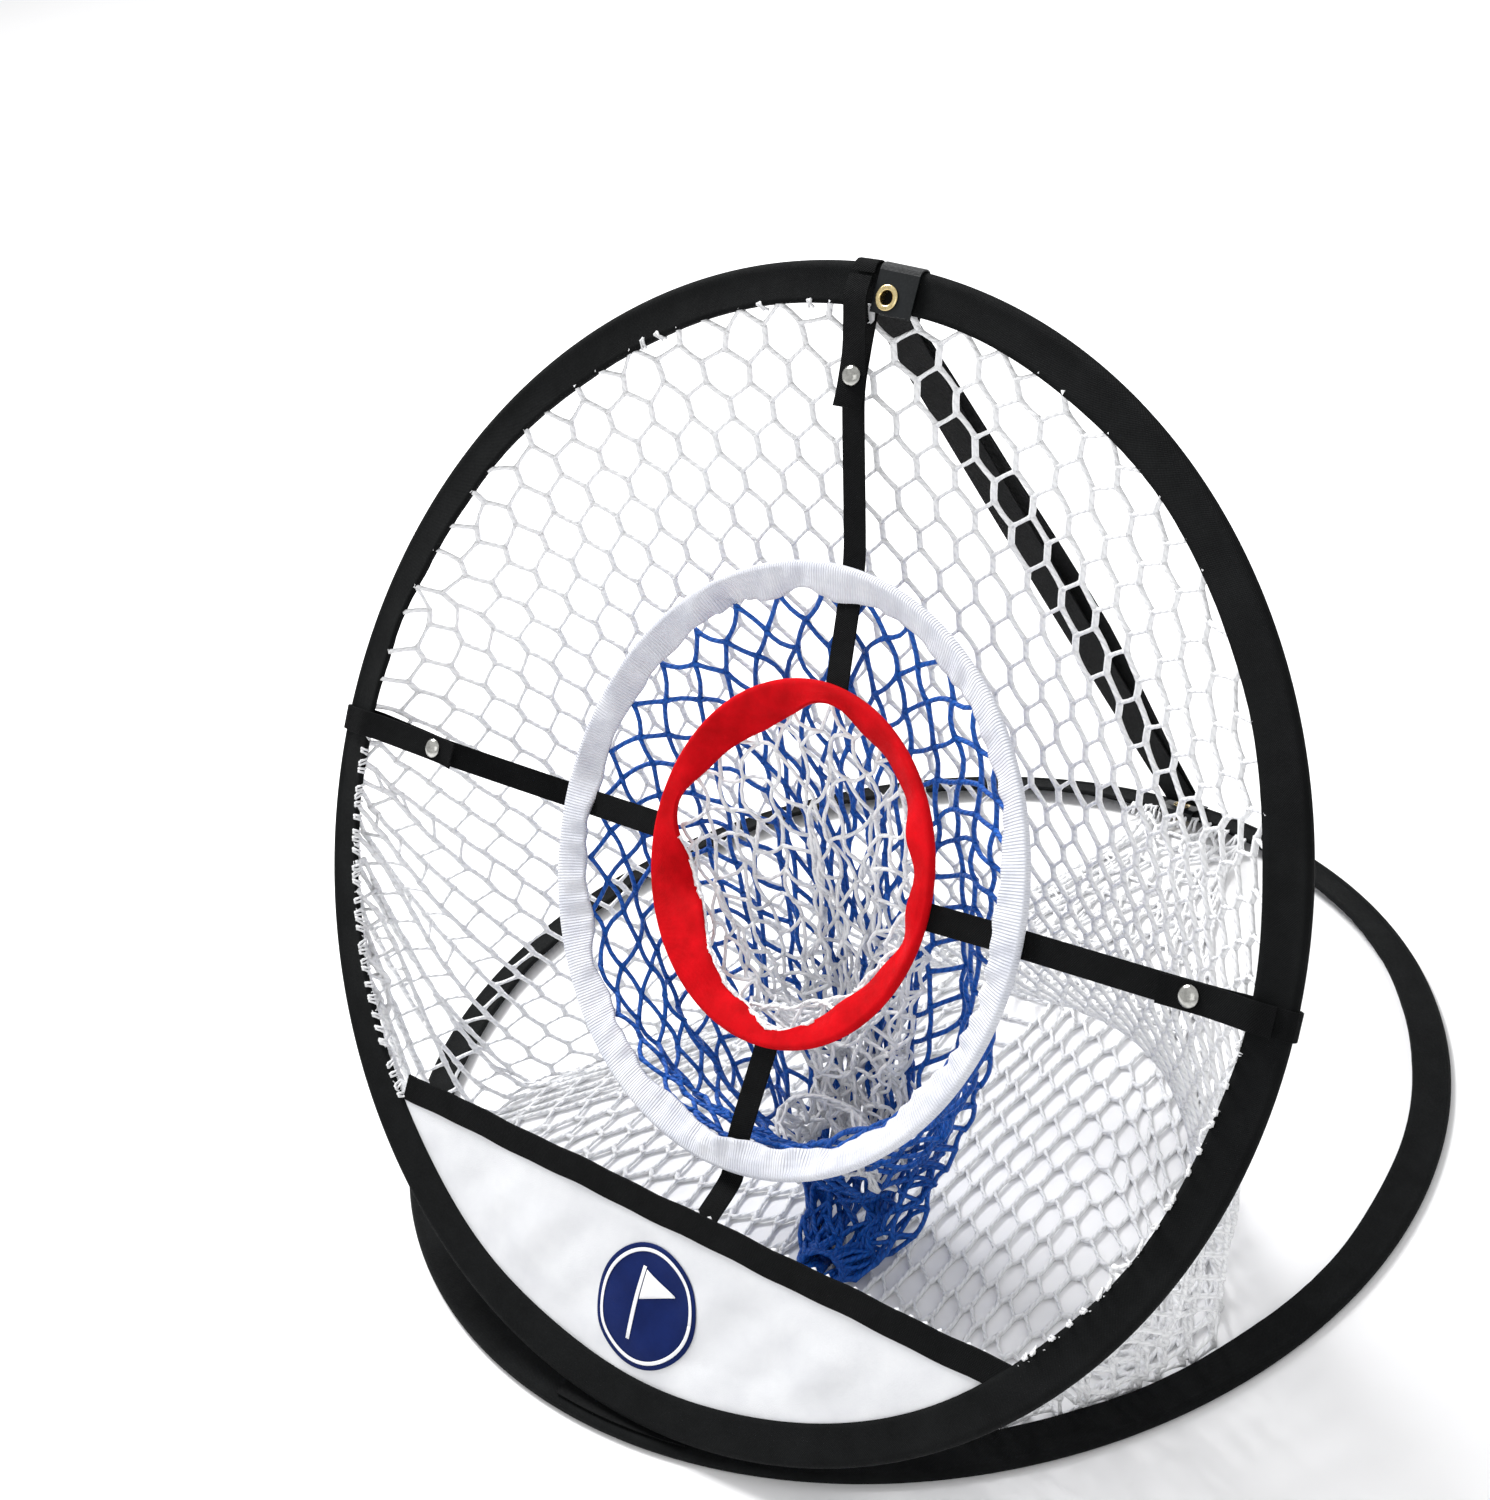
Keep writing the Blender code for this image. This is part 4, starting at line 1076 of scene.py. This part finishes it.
def make_lashing():
    """Small loops of the net's sewing thread over the hoop's inner edge."""
    inner = BAND - TUBE
    spots = [(a, 0.5) for a in np.arange(178, 223, 1.3)]
    spots += [(a, 0.2) for a in np.arange(-42, -2, 2.2)]
    spots += [(a, 1.5) for a in (97, 103, 117, 119.5)]
    starts, ends = [], []
    for degrees, size in spots:
        a = radians(degrees + RNG.uniform(-0.6, 0.6))
        size = size * RNG.uniform(0.5, 1.3)
        lean = RNG.uniform(-0.006, 0.008)
        loop = [(0.0014, 0, -0.0012), (0.0004, lean, 0.0020), (-0.0014 * size, lean * 1.5, 0.0022)]
        loop += [(-0.0010 * size, lean * 1.5 + 0.006, 0.0022), (0.0016, 0.008, -0.0006)]
        pts = at(FRONT, [rim_point(a + turn, inner + back, n) for back, turn, n in loop])
        starts += list(pts[:-1])
        ends += list(pts[1:])
    loops = cords("hoop_lashing", starts, ends, 0.0007, 5, 2, NET)
    finish_piece(loops, "front", "white_net")


# ------------------------------------ CAD pieces kept as they are
def dress_cad():
    """Gives the CAD pieces that still show their materials, and the wraps rounded edges."""
    looks = {
        "_wire": STEEL, "_ferrule": CRIMP, "_snap_socket": CHROME, "_snap_stud": CHROME,
        "eyelet_wrap": NYLON, "hinge_tape": WEBBING,
    }
    for name, obj in frame["nodes"].items():
        if obj.hide_render:
            continue
        for ending, material in looks.items():
            if name.endswith(ending):
                obj.data.materials.clear()
                obj.data.materials.append(material)
                break
        if "wrap" in name:
            bevel = obj.modifiers.new("bevel", "BEVEL")
            bevel.width = 0.0003
            bevel.segments = 2


def make_eyelet(name, body):
    """A rolled brass eyelet on the CAD eyelet's own axis."""
    points = np.array([v.co for v in frame["nodes"][name].data.vertices])
    middle = points.mean(0)
    size, axes = np.linalg.svd(points - middle, full_matrices=False)[1:]
    odd = axes[2] if size[0] - size[1] < size[1] - size[2] else axes[0]
    axis = Vector(odd) * (1 if odd[2] > 0 else -1)
    along = (points - middle) @ np.array(axis)
    away = np.linalg.norm(points - middle - along[:, None] * np.array(axis), axis=1)
    low, high, hole, rim = along.min(), along.max(), away.min(), away.max()
    turn = Vector((0, 0, 1)).rotation_difference(axis).to_matrix().to_4x4()
    roll = (rim - hole) / 2
    profile = []
    for k in range(9):
        a = pi * k / 8
        profile.append((hole + roll - roll * cos(a), high - 0.0004 + 0.0006 * sin(a)))
    profile += [(rim - 0.0006, high - 0.0008), (hole + 0.0008, high - 0.0008)]
    profile += [(hole + 0.0008, low + 0.0008), (rim, low + 0.0004), (rim, low), (hole, low)]
    ring = turned(f"{name}_roll", Matrix.Translation(middle) @ turn, profile, BRASS, 48, True)
    finish_piece(ring, body, "eyelet_brass", name)


# ------------------------------------ stage
FLOOR_SIZE, SKY_STRENGTH = 14, 0.76
LIGHTS = (  # name, place, size, watts and aim
    ("key", (-1.5, 0.4, 2.2), 0.9, 84, (0, 0, 0.1)),
    ("fill", (0.9, -2.2, 1.6), 1.6, 8, (0, 0, 0.2)),
)


def make_stage():
    scene = bpy.context.scene
    scene.view_settings.view_transform = "Standard"
    look = Look("floor", 0.9)
    tone = look.noise(look.coords("Object"), 3, 2)
    look.set(Base_Color=look.mix(tone, (0.93, 0.93, 0.94), (0.95, 0.95, 0.955)))
    bpy.ops.mesh.primitive_plane_add(size=FLOOR_SIZE)
    floor = bpy.context.object
    floor.name = "floor"
    floor.data.materials.append(look.mat)
    world = bpy.data.worlds.new("world")
    scene.world = world
    world.use_nodes = True
    sky = world.node_tree.nodes["Background"].inputs
    sky["Color"].default_value = (1, 1, 1, 1)
    sky["Strength"].default_value = SKY_STRENGTH
    for name, spot, size, power, aim in LIGHTS:
        data = bpy.data.lights.new(name, "AREA")
        data.size = size
        data.energy = power
        lamp = bpy.data.objects.new(name, data)
        scene.collection.objects.link(lamp)
        lamp.location = spot
        lamp.rotation_euler = (Vector(aim) - Vector(spot)).to_track_quat("-Z", "Y").to_euler()


make_camera()
make_hoops()
make_target_ring()
make_bullseye_ring()
make_strap("right", 0.0, -0.004, 0.002, 0.0)
make_strap("left", pi, 0.004, -0.006, 0.005)
make_strap("top", pi / 2, -0.0150, 0.0048, 0.003)
make_bottom_strap()
make_rear_strap()
make_panel()
make_nets()
make_lashing()
make_eyelet("top_eyelet", "front")
make_eyelet("base_eyelet", "base")
dress_cad()
make_stage()
